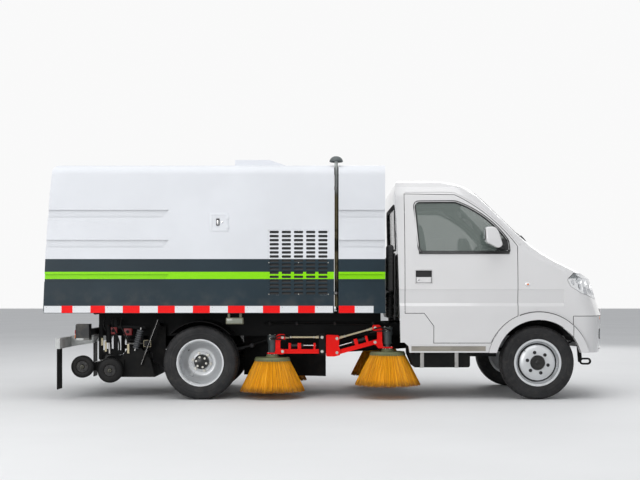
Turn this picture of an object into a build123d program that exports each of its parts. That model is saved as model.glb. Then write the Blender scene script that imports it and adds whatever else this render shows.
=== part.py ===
"""Small street sweeper truck: light cab chassis, twin rear wheels, tipping hopper and four side brushes.

X points forward, Y to the vehicle's left, Z up, in millimetres. The origin is on the ground, under the
middle of the overall length.
"""
import os
from math import cos, radians, sin

from build123d import *

os.makedirs("parts", exist_ok=True)

# Driving dimensions
LENGTH = 4916
WHEELBASE = 2900
FRONT_OVERHANG = 690
FRONT_AXLE_X = LENGTH / 2 - FRONT_OVERHANG
REAR_AXLE_X = FRONT_AXLE_X - WHEELBASE
TYRE_R = 317
TYRE_W = 175
RIM_R = 188
AXLE_Z = TYRE_R
FRONT_WHEEL_Y = 690
KINGPIN_Y = 595
TWIN_OUTER_Y = 705
TWIN_INNER_Y = 500
GAP = 5

# Frame
RAIL_Y = 368
RAIL_W = 54
RAIL_LOW, RAIL_TOP = 535, 650
SUBFRAME_TOP = 742
FRAME_REAR, FRAME_FRONT = -2080, 2230

# Sweeper body
BODY_HALF = 860
BODY_LOW, BODY_TOP = 762, 2010
BODY_REAR = -LENGTH / 2
HOPPER_FRONT = 17
TANK_REAR, TANK_FRONT = 55, 452
WALL = 28
BULKHEAD_X = -600
ROOF_ROUND = 90
RIB_LEVELS = (1590, 1335, 1045)
RIB_HALF, RIB_DEPTH, RIB_TAPER = 32, 12, 55
RIB_END = -1390
LIP_LOW = 744
TIP_PIVOT = (-2110, SUBFRAME_TOP)
REAR_EDGE = ((BODY_REAR, BODY_LOW), (-2447, 1026), (-2436, 1281), (-2412, 1621), (-2394, 1833), (-2381, 1944))
REAR_TANGENTS = ((0.03, 1), (0.12, 1))
GATE_TOP, GATE_LOW, GATE_THICK, GATE_HALF = 1930, 776, 38, 812
GATE_PIVOT = (-2382.7, GATE_TOP)
HINGE_YS = (-480, 480)
LOUVRE_X, LOUVRE_Z = (-545, -26), (897, 1452)
LOUVRE_COUNT, LOUVRE_PITCH = (5, 16), (103, 34.6)
DUCT_X, DUCT_Y, DUCT_R = -1760, 235, 90
FILLER_R = 60

# Cab
SILL_Z = 405
FLOOR_Z, FLOOR_THICK = 725, 25
SIDE_THICK = 48
FRONT_THICK_SHARE = 0.85
FIREWALL_X = 1740
ARCH_R = 370
FLARE_R = 436
DOOR_ARCH_R = 443
DOOR_FRONT, DOOR_REAR = 1588, 627
BONNET_REAR, BONNET_FRONT = 1880, 2296
BUMPER_TOP, BUMPER_REAR = 716, 2066
WHEEL_Y = 360

# Side brushes
BRUSH_Y = 590
LINK_LENGTH, LINK_RISE = 345, 124
REAR_PIVOT, REAR_LINK_ANGLE = (-85, 406), 180
FRONT_PIVOT, FRONT_LINK_ANGLE = (45, 395), 15.5
PIN_R = 8
DISC_R, BRISTLE_R = 150, 286

# Engine and tipping ram
ENGINE_REAR = 900
TIP_BASE, TIP_EYE = (-250, 560), (-1300, 727)

# Suction head
# Columns: X, height and radius of each wheel pair
NOZZLE_WHEELS = ((-1938, 240, 108), (-2179, 273, 97))

parts = {}


def keep(builder, name):
    """Labels a finished sub-part and remembers it for export."""
    builder.part.label = name
    parts[name] = builder.part


def side_plane(y):
    """A sketch plane seen from the right-hand side: its x is X, its y is Z, and its normal is -Y."""
    return Plane(origin=(0, y, 0), x_dir=(1, 0, 0), z_dir=(0, -1, 0))


def cross_plane(x):
    """A sketch plane across the vehicle: its x is Y, its y is Z, and its normal is +X."""
    return Plane(origin=(x, 0, 0), x_dir=(0, 1, 0), z_dir=(1, 0, 0))


def block(x0, x1, y0, y1, z0, z1, mode=Mode.ADD):
    """A plain block between two corners."""
    with Locations(((x0 + x1) / 2, (y0 + y1) / 2, (z0 + z1) / 2)):
        Box(abs(x1 - x0), abs(y1 - y0), abs(z1 - z0), mode=mode)


def rod(start, end, radius, mode=Mode.ADD):
    """A round bar between two points."""
    line = Vector(*end) - Vector(*start)
    with BuildSketch(Plane(origin=start, z_dir=line)) as section:
        Circle(radius)
    extrude(section.sketch, amount=line.length, mode=mode)


def bar(start, end, width, depth, mode=Mode.ADD):
    """A square bar between two points that share one Y, width across in Y."""
    line = Vector(*end) - Vector(*start)
    with BuildSketch(Plane(origin=start, x_dir=(0, 1, 0), z_dir=line)) as section:
        Rectangle(width, depth)
    extrude(section.sketch, amount=line.length, mode=mode)


def side_prism(points, y0, y1, mode=Mode.ADD, corner=0):
    """A closed outline in side view, extruded between two Y values."""
    with BuildSketch(side_plane(max(y0, y1))) as outline:
        with BuildLine():
            Polyline(*points, close=True)
        make_face()
        if corner:
            fillet(outline.vertices(), corner)
    extrude(outline.sketch, amount=abs(y1 - y0), mode=mode)


def cross_prism(points, x0, x1, mode=Mode.ADD, corner=0):
    """A closed outline seen from the front, extruded between two X values."""
    with BuildSketch(cross_plane(min(x0, x1))) as outline:
        with BuildLine():
            Polyline(*points, close=True)
        make_face()
        if corner:
            fillet(outline.vertices(), corner)
    extrude(outline.sketch, amount=abs(x1 - x0), mode=mode)


def side_disc(x, z, radius, y0, y1, mode=Mode.ADD):
    """A round disc with its axis along Y."""
    with BuildSketch(side_plane(max(y0, y1))) as face:
        with Locations((x, z)):
            Circle(radius)
    extrude(face.sketch, amount=abs(y1 - y0), mode=mode)


# Cab form: level sections from the sill to the roof.
# Columns: height, rear x, front x at the centre, half width, front bow, front corner radius
CAB_SECTIONS = (
    (SILL_Z, 588, 2436, 796, 185, 190),
    (560, 584, 2446, 807, 200, 190),
    (BUMPER_TOP, 580, LENGTH / 2 - 2, 812, 220, 190),
    (905, 575, 2394, 812, 220, 180),
    (1041, 571, 2340, 807, 185, 170),
    (1110, 569, 2232, 803, 185, 170),
    (1192, 567, 2066, 797, 180, 170),
    (1262, 565, 1936, 791, 165, 160),
    (1335, 562, 1822, 784, 150, 160),
    (1450, 559, 1686, 764, 133, 150),
    (1560, 556, 1566, 742, 118, 140),
    (1680, 553, 1438, 714, 104, 135),
    (1770, 550, 1336, 693, 92, 130),
    (1838, 550, 1232, 666, 76, 130),
    (1880, 560, 1116, 612, 60, 130),
    (1904, 585, 1010, 500, 45, 130),
    (1916, 620, 880, 330, 30, 130),
)


def cab_form(inset=0.0, low=SILL_Z, front_share=FRONT_THICK_SHARE):
    """The closed outer form of the cab, or a smaller one whose faces lie inset millimetres inside it."""
    with BuildPart() as form:
        for z, rear, front, half, bow, corner in CAB_SECTIONS:
            level = z if z > SILL_Z else low
            drop = inset * max(0.0, min(1.0, (z - 1500) / 350))
            nose = front - inset * front_share
            side = half - inset
            with BuildSketch(Plane.XY.offset(level - drop)):
                with BuildLine():
                    Line((rear + inset, side), (rear + inset, -side))
                    Line((rear + inset, -side), (nose - bow, -side))
                    ThreePointArc((nose - bow, -side), (nose, 0), (nose - bow, side))
                    Line((nose - bow, side), (rear + inset, side))
                face = make_face()
                fillet([v for v in face.vertices() if v.X > rear + inset + 50], corner)
                fillet([v for v in face.vertices() if v.X < rear + inset + 5], 40)
        loft(ruled=True)
    return form.part


def door_outline(grow=0.0):
    """The door's edge in side view, drawn in the caller's sketch and grown by its gap."""
    with BuildLine() as edge:
        Line((DOOR_REAR, 1772), (1060, 1766))
        ThreePointArc((1060, 1766), (1352, 1575), (DOOR_FRONT, 1318))
        Polyline(
            (DOOR_FRONT, 1318), (DOOR_FRONT, 490), (873, 490), (873, 634), (790, 745), (DOOR_REAR, 745),
            (DOOR_REAR, 1772),
        )
    make_face(edge.edges())
    with Locations((FRONT_AXLE_X, AXLE_Z)):
        Circle(DOOR_ARCH_R, mode=Mode.SUBTRACT)
    if grow:
        offset(amount=grow, kind=Kind.INTERSECTION)


def window_outline(grow=0.0):
    """The door window's edge in side view, with rounded corners."""
    with BuildLine() as edge:
        Line((710, 1704), (1065, 1706))
        ThreePointArc((1065, 1706), (1290, 1590), (1508, 1366))
        Polyline((1508, 1366), (1519, 1266), (748, 1266), (710, 1704))
    face = make_face(edge.edges())
    fillet([v for v in face.vertices() if v.X < 800 or v.Y < 1300], 45)
    if grow:
        offset(amount=grow)


def shell_slice(name, solid, outline, y0, y1, grow=0.0):
    """Keeps the piece of a solid that lies inside an outline seen from the side."""
    with BuildPart() as piece:
        with BuildSketch(side_plane(max(y0, y1))):
            outline(grow)
        extrude(amount=abs(y1 - y0))
        add(solid, mode=Mode.INTERSECT)
    keep(piece, name)


def arch_cut(x, radius):
    """Opens both wheel arches of one axle through the side walls."""
    for side in (-1, 1):
        side_disc(x, AXLE_Z, radius, side * 560, side * 900, mode=Mode.SUBTRACT)


def headlight_outline(grow=0.0):
    """The headlight's edge in side view."""
    with BuildLine() as edge:
        Polyline(
            (2014, 1034), (2072, 1086), (2180, 1082), (2420, 1000), (2420, 862), (2290, 866), (2128, 920),
            (2040, 975), close=True,
        )
    face = make_face(edge.edges())
    fillet(face.vertices(), 18)
    if grow:
        offset(amount=grow)


def bonnet_outline(grow=0.0):
    """The bonnet lid's edge seen from above."""
    with BuildLine() as edge:
        Polyline(
            (BONNET_REAR, 585), (2120, 590), (BONNET_FRONT, 430), (BONNET_FRONT, -430), (2120, -590),
            (BONNET_REAR, -585), close=True,
        )
    face = make_face(edge.edges())
    fillet(face.vertices(), 40)
    if grow:
        offset(amount=grow)


def cab():
    """The hollow cab with its doors, bonnet, bumper, lamps and glass, split where the real panels meet."""
    outer = cab_form()
    inner = cab_form(SIDE_THICK, low=300)
    glass_outer = cab_form(12, front_share=1.2)
    glass_inner = cab_form(18, front_share=1.3)

    with BuildPart() as skin:
        add(outer)
        for side in (-1, 1):
            # A shallow band along the doors and wings, with a shoulder above and a sharper one under it
            y = side * 812
            cross_prism([(y * 1.02, 952), (y, 952), (y - side * 7, 938), (y - side * 13, 830), (y - side * 1, 804),
                         (y * 1.02, 804)], 500, 1985, mode=Mode.SUBTRACT)
        add(inner, mode=Mode.SUBTRACT)
        for side in (-1, 1):
            with BuildSketch(side_plane(max(side * 770, side * 826))):
                with Locations((FRONT_AXLE_X, AXLE_Z)):
                    Circle(FLARE_R)
                with Locations((FRONT_AXLE_X, SILL_Z - 400)):
                    Rectangle(1000, 800, mode=Mode.SUBTRACT)
            extrude(amount=56)
        arch_cut(FRONT_AXLE_X, ARCH_R)
    walls = skin.part

    with BuildPart() as rear_edge:
        # Thins the doors' rear edges, so that they pass the pillars as they open
        add(cab_form(20, low=300))
        block(500, DOOR_REAR + 42, -900, 900, 300, 2000, mode=Mode.INTERSECT)

    with BuildPart() as door_zone:
        add(walls)
        add(rear_edge.part, mode=Mode.SUBTRACT)
        for side in (-1, 1):
            # The recessed hand hold, with its flap left standing
            block(716, 856, side * 830, side * 786, 1000, 1110, mode=Mode.SUBTRACT)
            block(722, 850, side * 800, side * 786, 1004, 1052)
            with BuildSketch(side_plane(max(side * 600, side * 900))):
                window_outline()
            extrude(amount=300, mode=Mode.SUBTRACT)
    door_walls = door_zone.part

    with BuildPart() as glass_skin:
        add(glass_outer)
        add(glass_inner, mode=Mode.SUBTRACT)
    panes = glass_skin.part

    for side, name in ((-1, "right"), (1, "left")):
        shell_slice(f"door_{name}", door_walls, door_outline, side * 560, side * 900)
        shell_slice(f"door_glass_{name}", panes, window_outline, side * 560, side * 900, grow=-1)

    with BuildPart() as lamps:
        for side in (-1, 1):
            with BuildSketch(side_plane(max(side * 490, side * 900))):
                headlight_outline()
            extrude(amount=410)
        add(walls, mode=Mode.INTERSECT)
    keep(lamps, "headlights")

    with BuildPart() as lid:
        with BuildSketch(Plane.XY.offset(1000)):
            bonnet_outline()
        extrude(amount=500)
        add(walls, mode=Mode.INTERSECT)
        for side in (-1, 1):
            with BuildSketch(side_plane(max(side * 480, side * 900))):
                headlight_outline(GAP)
            extrude(amount=420, mode=Mode.SUBTRACT)
    keep(lid, "bonnet")

    with BuildPart() as bumper:
        block(BUMPER_REAR, 2500, -900, 900, SILL_Z - 5, BUMPER_TOP)
        add(walls, mode=Mode.INTERSECT)
        cross_prism([(-360, 470), (360, 470), (330, 630), (-330, 630)], 2250, 2500, mode=Mode.SUBTRACT, corner=25)
    keep(bumper, "front_bumper")

    with BuildPart() as shell:
        add(walls)
        for side in (-1, 1):
            with BuildSketch(side_plane(max(side * 560, side * 900))):
                door_outline(GAP)
            extrude(amount=340, mode=Mode.SUBTRACT)
            with BuildSketch(side_plane(max(side * 486, side * 900))):
                headlight_outline(3)
            extrude(amount=414, mode=Mode.SUBTRACT)
        with BuildSketch(Plane.XY.offset(1000)):
            bonnet_outline(GAP)
        extrude(amount=500, mode=Mode.SUBTRACT)
        block(BUMPER_REAR - GAP, 2500, -900, 900, 300, BUMPER_TOP + GAP, mode=Mode.SUBTRACT)
        # The rear wall stops above the frame, and the sills start behind a notch for the brush
        block(500, 660, -740, 740, 300, FLOOR_Z - FLOOR_THICK, mode=Mode.SUBTRACT)
        side_prism([(500, 300), (500, 492), (620, 492), (655, 460), (668, 380), (668, 300)], -900, 900,
                   mode=Mode.SUBTRACT)
        # Windscreen, rear window and upper grille openings
        cross_prism([(-672, 1372), (672, 1372), (590, 1800), (-590, 1800)], 1250, 2050, mode=Mode.SUBTRACT, corner=60)
        cross_prism([(-520, 1300), (520, 1300), (500, 1690), (-500, 1690)], 500, 700, mode=Mode.SUBTRACT, corner=60)
        cross_prism([(-380, 915), (380, 915), (350, 985), (-350, 985)], 2200, 2500, mode=Mode.SUBTRACT, corner=20)
    with BuildPart() as boards:
        block(560, FIREWALL_X, -900, 900, FLOOR_Z - FLOOR_THICK, FLOOR_Z)
        block(FIREWALL_X, FIREWALL_X + 25, -900, 900, FLOOR_Z - FLOOR_THICK, 1290)
        block(FIREWALL_X, 1860, -900, 900, 1265, 1290)
        add(cab_form(SIDE_THICK + 1, low=300), mode=Mode.INTERSECT)
    with BuildPart() as cab_shell:
        add(shell.part)
        add(boards.part)
    keep(cab_shell, "cab_shell")

    with BuildPart() as fixed_glass:
        cross_prism([(-671, 1373), (671, 1373), (589, 1799), (-589, 1799)], 1250, 2050, corner=59)
        cross_prism([(-519, 1301), (519, 1301), (499, 1689), (-499, 1689)], 500, 700, corner=59)
        add(panes, mode=Mode.INTERSECT)
    keep(fixed_glass, "cab_glass")

    with BuildPart() as grille:
        for low, high, half, x in ((478, 622, 322, 2352), (920, 980, 340, 2296)):
            block(x, x + 14, -half, half, low, high)
            slots = 3 if high - low > 100 else 2
            pitch = (high - low) / slots
            for row in range(slots):
                middle = low + pitch * (row + 0.5)
                block(x - 1, x + 15, -half + 20, half - 20, middle - pitch * 0.32, middle + pitch * 0.32,
                      mode=Mode.SUBTRACT)
    keep(grille, "front_grille")


def turned(profile, x, z):
    """A turned form about an axle line along Y. The profile holds (y, radius) points."""
    with BuildSketch(Plane(origin=(x, 0, z), x_dir=(0, 1, 0), z_dir=(1, 0, 0))) as section:
        with BuildLine():
            Polyline(*profile, close=True)
        make_face()
    revolve(section.sketch, axis=Axis((x, 0, z), (0, 1, 0)))


def drilled(x, z, pitch_radius, count, hole, y0, y1):
    """A circle of round holes along Y through a wheel disc."""
    with BuildSketch(side_plane(max(y0, y1))) as holes:
        with Locations((x, z)):
            with PolarLocations(pitch_radius, count):
                Circle(hole)
    extrude(holes.sketch, amount=abs(y1 - y0), mode=Mode.SUBTRACT)


def brush_pins(x, z, side):
    """The two pins that carry one brush's links."""
    for level in (z, z + LINK_RISE):
        side_disc(x, level, PIN_R, side * (BRUSH_Y - 36), side * (BRUSH_Y + 36))


def frame():
    """Ladder frame with the body subframe, crossmembers and the brush brackets."""
    with BuildPart() as chassis:
        for side in (-1, 1):
            inner, outer = side * (RAIL_Y - RAIL_W / 2), side * (RAIL_Y + RAIL_W / 2)
            # Channel-section rail, open towards the middle
            block(FRAME_REAR, FRAME_FRONT, inner, outer, RAIL_LOW, RAIL_TOP)
            block(FRAME_REAR + 8, FRAME_FRONT - 8, inner, outer - side * 8, RAIL_LOW + 8, RAIL_TOP - 8,
                  mode=Mode.SUBTRACT)
            block(FRAME_REAR, TANK_FRONT - 12, inner, outer, RAIL_TOP, SUBFRAME_TOP)
            # Ledges that carry the auxiliary engine's plate
            block(-480, -100, inner, inner - side * 40, SUBFRAME_TOP - 20, SUBFRAME_TOP)
            # Lugs of the hopper's tipping hinge
            side_disc(*TIP_PIVOT, 15, inner, outer)
            block(TIP_PIVOT[0], FRAME_REAR, inner, outer, SUBFRAME_TOP - 15, SUBFRAME_TOP)
            side_disc(*TIP_PIVOT, 9, inner, outer, mode=Mode.SUBTRACT)
            # Outrigger of the brush arms, with the rear arm's cheeks and pins
            block(-112, 10, outer, side * (BRUSH_Y - 36), 440, 540)
            block(-112, -52, side * (BRUSH_Y - 36), side * (BRUSH_Y + 36), 448, 482)
            for y in (BRUSH_Y - 36, BRUSH_Y + 26):
                side_prism([(-112, 372), (-58, 372), (-58, 562), (-112, 562)], side * y, side * (y + 10), corner=20)
        for x in (-2030, -1440, 470, 800, 1560, 2170):
            block(x - 30, x + 30, -388, 388, 560, 620)
        # Towing loop under the nose, on the right-hand rail
        with BuildSketch(side_plane(-352)) as loop:
            with Locations((2278, 305)):
                SlotOverall(104, 62)
                SlotOverall(72, 30, mode=Mode.SUBTRACT)
        extrude(loop.sketch, amount=16)
        side_prism([(2192, 560), (2226, 560), (2248, 320), (2230, 292), (2214, 300)], -368, -352, corner=6)
        # Trunnion of the tipping cylinder, between the rails
        block(-215, -160, -388, 388, 543, 590)
        for y in (-46, 30):
            block(-268, -200, y, y + 16, 538, 582)
        side_disc(*TIP_BASE, 12, -46, 46)
        for side in (-1, 1):
            brush_pins(*REAR_PIVOT, side)
    keep(chassis, "frame")

    with BuildPart() as brackets:
        for side in (-1, 1):
            # A welded post: two cheeks on a web, bolted to the outrigger
            for y in (BRUSH_Y - 36, BRUSH_Y + 26):
                side_prism([(-50, 362), (20, 362), (74, 374), (74, 420), (62, 450), (66, 545), (-50, 552)],
                           side * y, side * (y + 10), corner=14)
            block(-50, -38, side * (BRUSH_Y - 36), side * (BRUSH_Y + 36), 376, 540)
            brush_pins(*FRONT_PIVOT, side)
    keep(brackets, "brush_brackets")


def leaf_spring(x, y, half_span, seat_z, eye_z):
    """A stack of leaves under one rail, with its end hangers."""
    for leaf in range(4):
        reach = half_span * (1 - 0.2 * leaf)
        rise = (eye_z - seat_z) * (1 - 0.2 * leaf) ** 2
        low = seat_z - 10 * leaf
        with BuildSketch(side_plane(y + 28)) as blade:
            with BuildLine():
                ThreePointArc((x - reach, low + rise), (x, low), (x + reach, low + rise))
                Line((x + reach, low + rise), (x + reach, low + rise + 10.5))
                ThreePointArc((x + reach, low + rise + 10.5), (x, low + 10.5), (x - reach, low + rise + 10.5))
                Line((x - reach, low + rise + 10.5), (x - reach, low + rise))
            make_face()
        extrude(blade.sketch, amount=56)
    for end in (-1, 1):
        side_disc(x + end * half_span, eye_z + 5, 17, y - 28, y + 28)
        block(x + end * half_span - 9, x + end * half_span + 9, y - 24, y + 24, eye_z + 10, RAIL_LOW)


def axles():
    """Rear axle with its springs and shaft, and the front beam axle."""
    with BuildPart() as rear:
        side_disc(REAR_AXLE_X, AXLE_Z, 42, -560, 560)
        side_disc(REAR_AXLE_X, AXLE_Z, 30, -640, 640)
        turned([(-150, 40), (-95, 125), (70, 135), (120, 40), (120, 5), (-150, 5)], REAR_AXLE_X, AXLE_Z)
        for side in (-1, 1):
            side_disc(REAR_AXLE_X, AXLE_Z, 152, side * 402, side * 410)
            leaf_spring(REAR_AXLE_X, side * RAIL_Y, 560, 395, 492)
            block(REAR_AXLE_X - 60, REAR_AXLE_X + 60, side * (RAIL_Y - 40), side * (RAIL_Y + 30), 340, 372)
        rod((REAR_AXLE_X + 80, 0, AXLE_Z + 10), (ENGINE_REAR - 4, 0, 450), 34)
    keep(rear, "rear_axle")

    with BuildPart() as front:
        cross_prism([(-570, 296), (-500, 262), (500, 262), (570, 296), (570, 338), (480, 318), (-480, 318),
                     (-570, 338)], FRONT_AXLE_X - 28, FRONT_AXLE_X + 28)
        for side in (-1, 1):
            y = side * KINGPIN_Y
            with Locations((FRONT_AXLE_X, y, AXLE_Z)):
                Cylinder(30, 58)
                Cylinder(15, 60, mode=Mode.SUBTRACT)
            leaf_spring(FRONT_AXLE_X, side * RAIL_Y, 400, 368, 492)
            block(FRONT_AXLE_X - 50, FRONT_AXLE_X + 50, side * (RAIL_Y - 30), side * (RAIL_Y + 30), 300, 345)
    keep(front, "front_axle")

    for side, name in ((-1, "right"), (1, "left")):
        y = side * KINGPIN_Y
        with BuildPart() as knuckle:
            with Locations((FRONT_AXLE_X, y, AXLE_Z)):
                Cylinder(14.5, 110)
            for z in (AXLE_Z - 46, AXLE_Z + 46):
                with Locations((FRONT_AXLE_X, y, z)):
                    Cylinder(27, 18)
                block(FRONT_AXLE_X - 26, FRONT_AXLE_X + 26, y, side * 648, z - 9, z + 9)
            block(FRONT_AXLE_X - 40, FRONT_AXLE_X + 40, side * 632, side * 648, AXLE_Z - 55, AXLE_Z + 55)
            side_disc(FRONT_AXLE_X, AXLE_Z, 25, side * 640, side * 712)
            # Steering arm, reaching back inside the wheel
            block(FRONT_AXLE_X - 150, FRONT_AXLE_X, side * 575, side * 595, 354, 372)
        keep(knuckle, f"steering_knuckle_{name}")


def tyre_profile(centre):
    """Half section of one tyre about its own centre plane."""
    half = [(69, RIM_R), (69, 206), (83, 217), (TYRE_W / 2, 255), (82, 292), (60, TYRE_R)]
    return [(centre - y, r) for y, r in half] + [(centre + y, r) for y, r in reversed(half)]


def wheels():
    """Steel disc wheels: single and convex in front, twin and dished at the rear."""
    for side, name in ((-1, "right"), (1, "left")):
        centre = side * FRONT_WHEEL_Y
        with BuildPart() as tyre:
            turned(tyre_profile(centre), FRONT_AXLE_X, AXLE_Z)
        keep(tyre, f"front_tyre_{name}")
        with BuildPart() as rim:
            outline = [
                (-76, 203), (-71, 203), (-70, 187.5), (70, 187.5), (71, 203), (76, 203), (75, 185),
                (58, 181), (34, 176), (46, 160), (62, 128), (70, 92), (72, 64), (88, 58), (92, 40), (92, 0),
                (40, 0), (40, 25.5), (-36, 25.5), (-36, 62), (56, 62), (60, 90), (52, 124), (36, 154), (20, 176),
                (-75, 183),
            ]
            turned([(centre + side * d, r) for d, r in outline], FRONT_AXLE_X, AXLE_Z)
            drilled(FRONT_AXLE_X, AXLE_Z, 142, 8, 13, side * 700, side * 800)
        keep(rim, f"front_rim_{name}")

        with BuildPart() as tyres:
            for y in (TWIN_OUTER_Y, TWIN_INNER_Y):
                turned(tyre_profile(side * y), REAR_AXLE_X, AXLE_Z)
        keep(tyres, f"rear_tyres_{name}")
        with BuildPart() as rims:
            middle = (TWIN_OUTER_Y + TWIN_INNER_Y) / 2
            outline = [
                (26.5, 203), (31.5, 203), (32.5, 187.5), (172.5, 187.5), (173.5, 203), (178.5, 203),
                (178, 192), (166, 181), (74, 177), (40, 158), (18, 130), (10, 112), (10, 84), (0, 84), (0, 112),
                (0, 130), (30, 160), (46, 181), (28, 183),
            ]
            for face in (-1, 1):
                turned([(side * (middle + face * d), r) for d, r in outline], REAR_AXLE_X, AXLE_Z)
            hub = [(430, 155), (545, 155), (560, 110), (602, 90), (640, 86), (648, 64), (690, 60), (698, 40),
                   (698, 0), (644, 0), (644, 30.5), (565, 30.5), (565, 44), (540, 60), (540, 140), (430, 145)]
            turned([(side * y, r) for y, r in hub], REAR_AXLE_X, AXLE_Z)
        keep(rims, f"rear_rims_{name}")


def underbody():
    """Engine, tanks, guards and the pieces bolted to the frame."""
    with BuildPart() as engine:
        block(ENGINE_REAR, 1500, -220, 220, 340, 640)
        for x in (980, 1400):
            block(x - 30, x + 30, -387, 387, 560, 600)
    keep(engine, "engine_block")

    with BuildPart() as tank:
        side_prism([(705, 275), (660, 385), (660, 470), (1190, 470), (1190, 275)], -740, -430, corner=20)
        for x in (740, 1080):
            block(x - 18, x + 18, -440, -395, 440, 640)
    keep(tank, "fuel_tank")

    with BuildPart() as guards:
        for side in (-1, 1):
            for x, inner, outer, radius, low in (
                (REAR_AXLE_X, RAIL_Y + RAIL_W / 2, 800, 352, 560),
                (FRONT_AXLE_X, RAIL_Y + RAIL_W / 2, 750, 376, 500),
            ):
                with BuildSketch(side_plane(max(side * inner, side * outer))) as arc:
                    with Locations((x, AXLE_Z)):
                        Circle(radius + 5)
                        Circle(radius, mode=Mode.SUBTRACT)
                    with Locations((x, low - 600)):
                        Rectangle(1000, 1200, mode=Mode.SUBTRACT)
                extrude(arc.sketch, amount=outer - inner)
            # Flap behind the twin wheels, with its bracket off the rail
            side_prism([(-1614, 622), (-1614, 400), (-1588, 380), (-1588, 306), (-1475, 245), (-1475, 622)],
                       side * 440, side * 446)
            block(-1570, -1550, side * (RAIL_Y + RAIL_W / 2), side * 441, 560, 600)
            # Rubber skirt between the brushes and the middle of the truck, hung under the rail
            side_prism([(-790, 520), (-790, 180), (-50, 165), (-50, 412), (610, 412), (640, 440), (640, 520)],
                       side * 283, side * 290)
            block(-790, 640, side * 283, side * (RAIL_Y - 25), 520, RAIL_LOW)
            # Narrow flap clamped under the end of the rear bar
            block(-2356, -2346, side * 650, side * 800, 90, 437)
    keep(guards, "splash_guards")


def rear_guard():
    """Rear underrun bar with its brackets and lamp boxes."""
    with BuildPart() as guard:
        block(-2368, -2330, -800, 800, 437, 528)
        for side in (-1, 1):
            side_prism([(-2332, 440), (-2332, 525), (-2290, 534), (-2150, 512), (-2080, 590), (-2080, 540),
                        (-2125, 470)], side * 345, side * 391)
            block(-2190, -2082, side * 690, side * 800, 512, 650)
        block(-2120, FRAME_REAR, -760, 760, 552, 606)
        # Four bolt holes for a towing or number board
        with Locations((-2349, 0, 482.5)):
            with GridLocations(0, 240, 1, 2):
                with Locations((0, 0, -25), (0, 0, 25)):
                    Cylinder(6, 60, rotation=(0, 90, 0), mode=Mode.SUBTRACT)
    keep(guard, "rear_guard")


def tipping_cylinder():
    """Two-piece tipping ram between the frame trunnion and the hopper floor."""
    base = Vector(TIP_BASE[0], 0, TIP_BASE[1])
    eye = Vector(TIP_EYE[0], 0, TIP_EYE[1])
    along = (eye - base).normalized()
    closed = (eye - base).length
    with BuildPart() as barrel:
        rod(base + along * 45, base + along * (closed - 80), 34)
        rod(base + along * 60, base + along * (closed - 70), 23.5, mode=Mode.SUBTRACT)
        bar(base + along * 5, base + along * 50, 50, 44)
        side_disc(*TIP_BASE, 26, -25, 25)
        side_disc(*TIP_BASE, 12.5, -28, 28, mode=Mode.SUBTRACT)
    keep(barrel, "tip_cylinder")
    with BuildPart() as ram:
        rod(base + along * 66, base + along * (closed - 4), 22.5)
        side_disc(*TIP_EYE, 24, -20, 20)
        side_disc(*TIP_EYE, 15, -20, 20, mode=Mode.SUBTRACT)
    keep(ram, "tip_rod")


def body_profile(inset=0.0):
    """The hopper's side outline: flat floor, upright front and a rear edge that leans forward as it rises.

    The cavity's outline is the same one with every face moved in by inset.
    """
    low, top = BODY_LOW + inset, BODY_TOP - inset
    edge_points = [(x + inset, max(z, low)) for x, z in REAR_EDGE]
    top_x, top_z = edge_points[-1]
    with BuildLine() as edge:
        Spline(*edge_points, tangents=REAR_TANGENTS)
        ThreePointArc((top_x, top_z), (top_x + (top - top_z) * 0.3, top_z + (top - top_z) * 0.76),
                      (top_x + top - top_z, top))
        Polyline((top_x + top - top_z, top), (HOPPER_FRONT - inset, top), (HOPPER_FRONT - inset, low),
                 edge_points[0])
    make_face(edge.edges())


def rear_band(near, far, half, low, top):
    """A curved slab that follows the rear edge, between two distances in front of it."""
    with BuildPart() as band:
        with BuildSketch(side_plane(half)) as outline:
            with BuildLine():
                first = Spline(*[(x + near, z) for x, z in REAR_EDGE], tangents=REAR_TANGENTS)
                second = Spline(*[(x + far, z) for x, z in REAR_EDGE], tangents=REAR_TANGENTS)
                Line(first @ 0, second @ 0)
                Line(first @ 1, second @ 1)
            make_face()
        extrude(outline.sketch, amount=2 * half)
        block(BODY_REAR - 100, -2100, -half, half, low, top, mode=Mode.INTERSECT)
    return band.part


def body_section(x0, x1, half, low, top, radius, mode=Mode.ADD):
    """A box along X whose two roof edges are rounded."""
    with BuildSketch(cross_plane(x0)) as section:
        with Locations((0, (low + top) / 2)):
            Rectangle(half * 2, top - low)
        fillet(section.vertices().group_by(Axis.Y)[-1], radius)
    extrude(section.sketch, amount=x1 - x0, mode=mode)


def rib_channels(x0, x1, taper):
    """Pressed channels along both sides, with slanted ends."""
    for level in RIB_LEVELS:
        for side in (-1, 1):
            floor, face = side * (BODY_HALF - RIB_DEPTH), side * (BODY_HALF + 5)
            side_prism([(x0, level + RIB_HALF), (x1, level + RIB_HALF), (x1 - taper, level - RIB_HALF),
                        (x0, level - RIB_HALF)], floor, face, mode=Mode.SUBTRACT)


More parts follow.
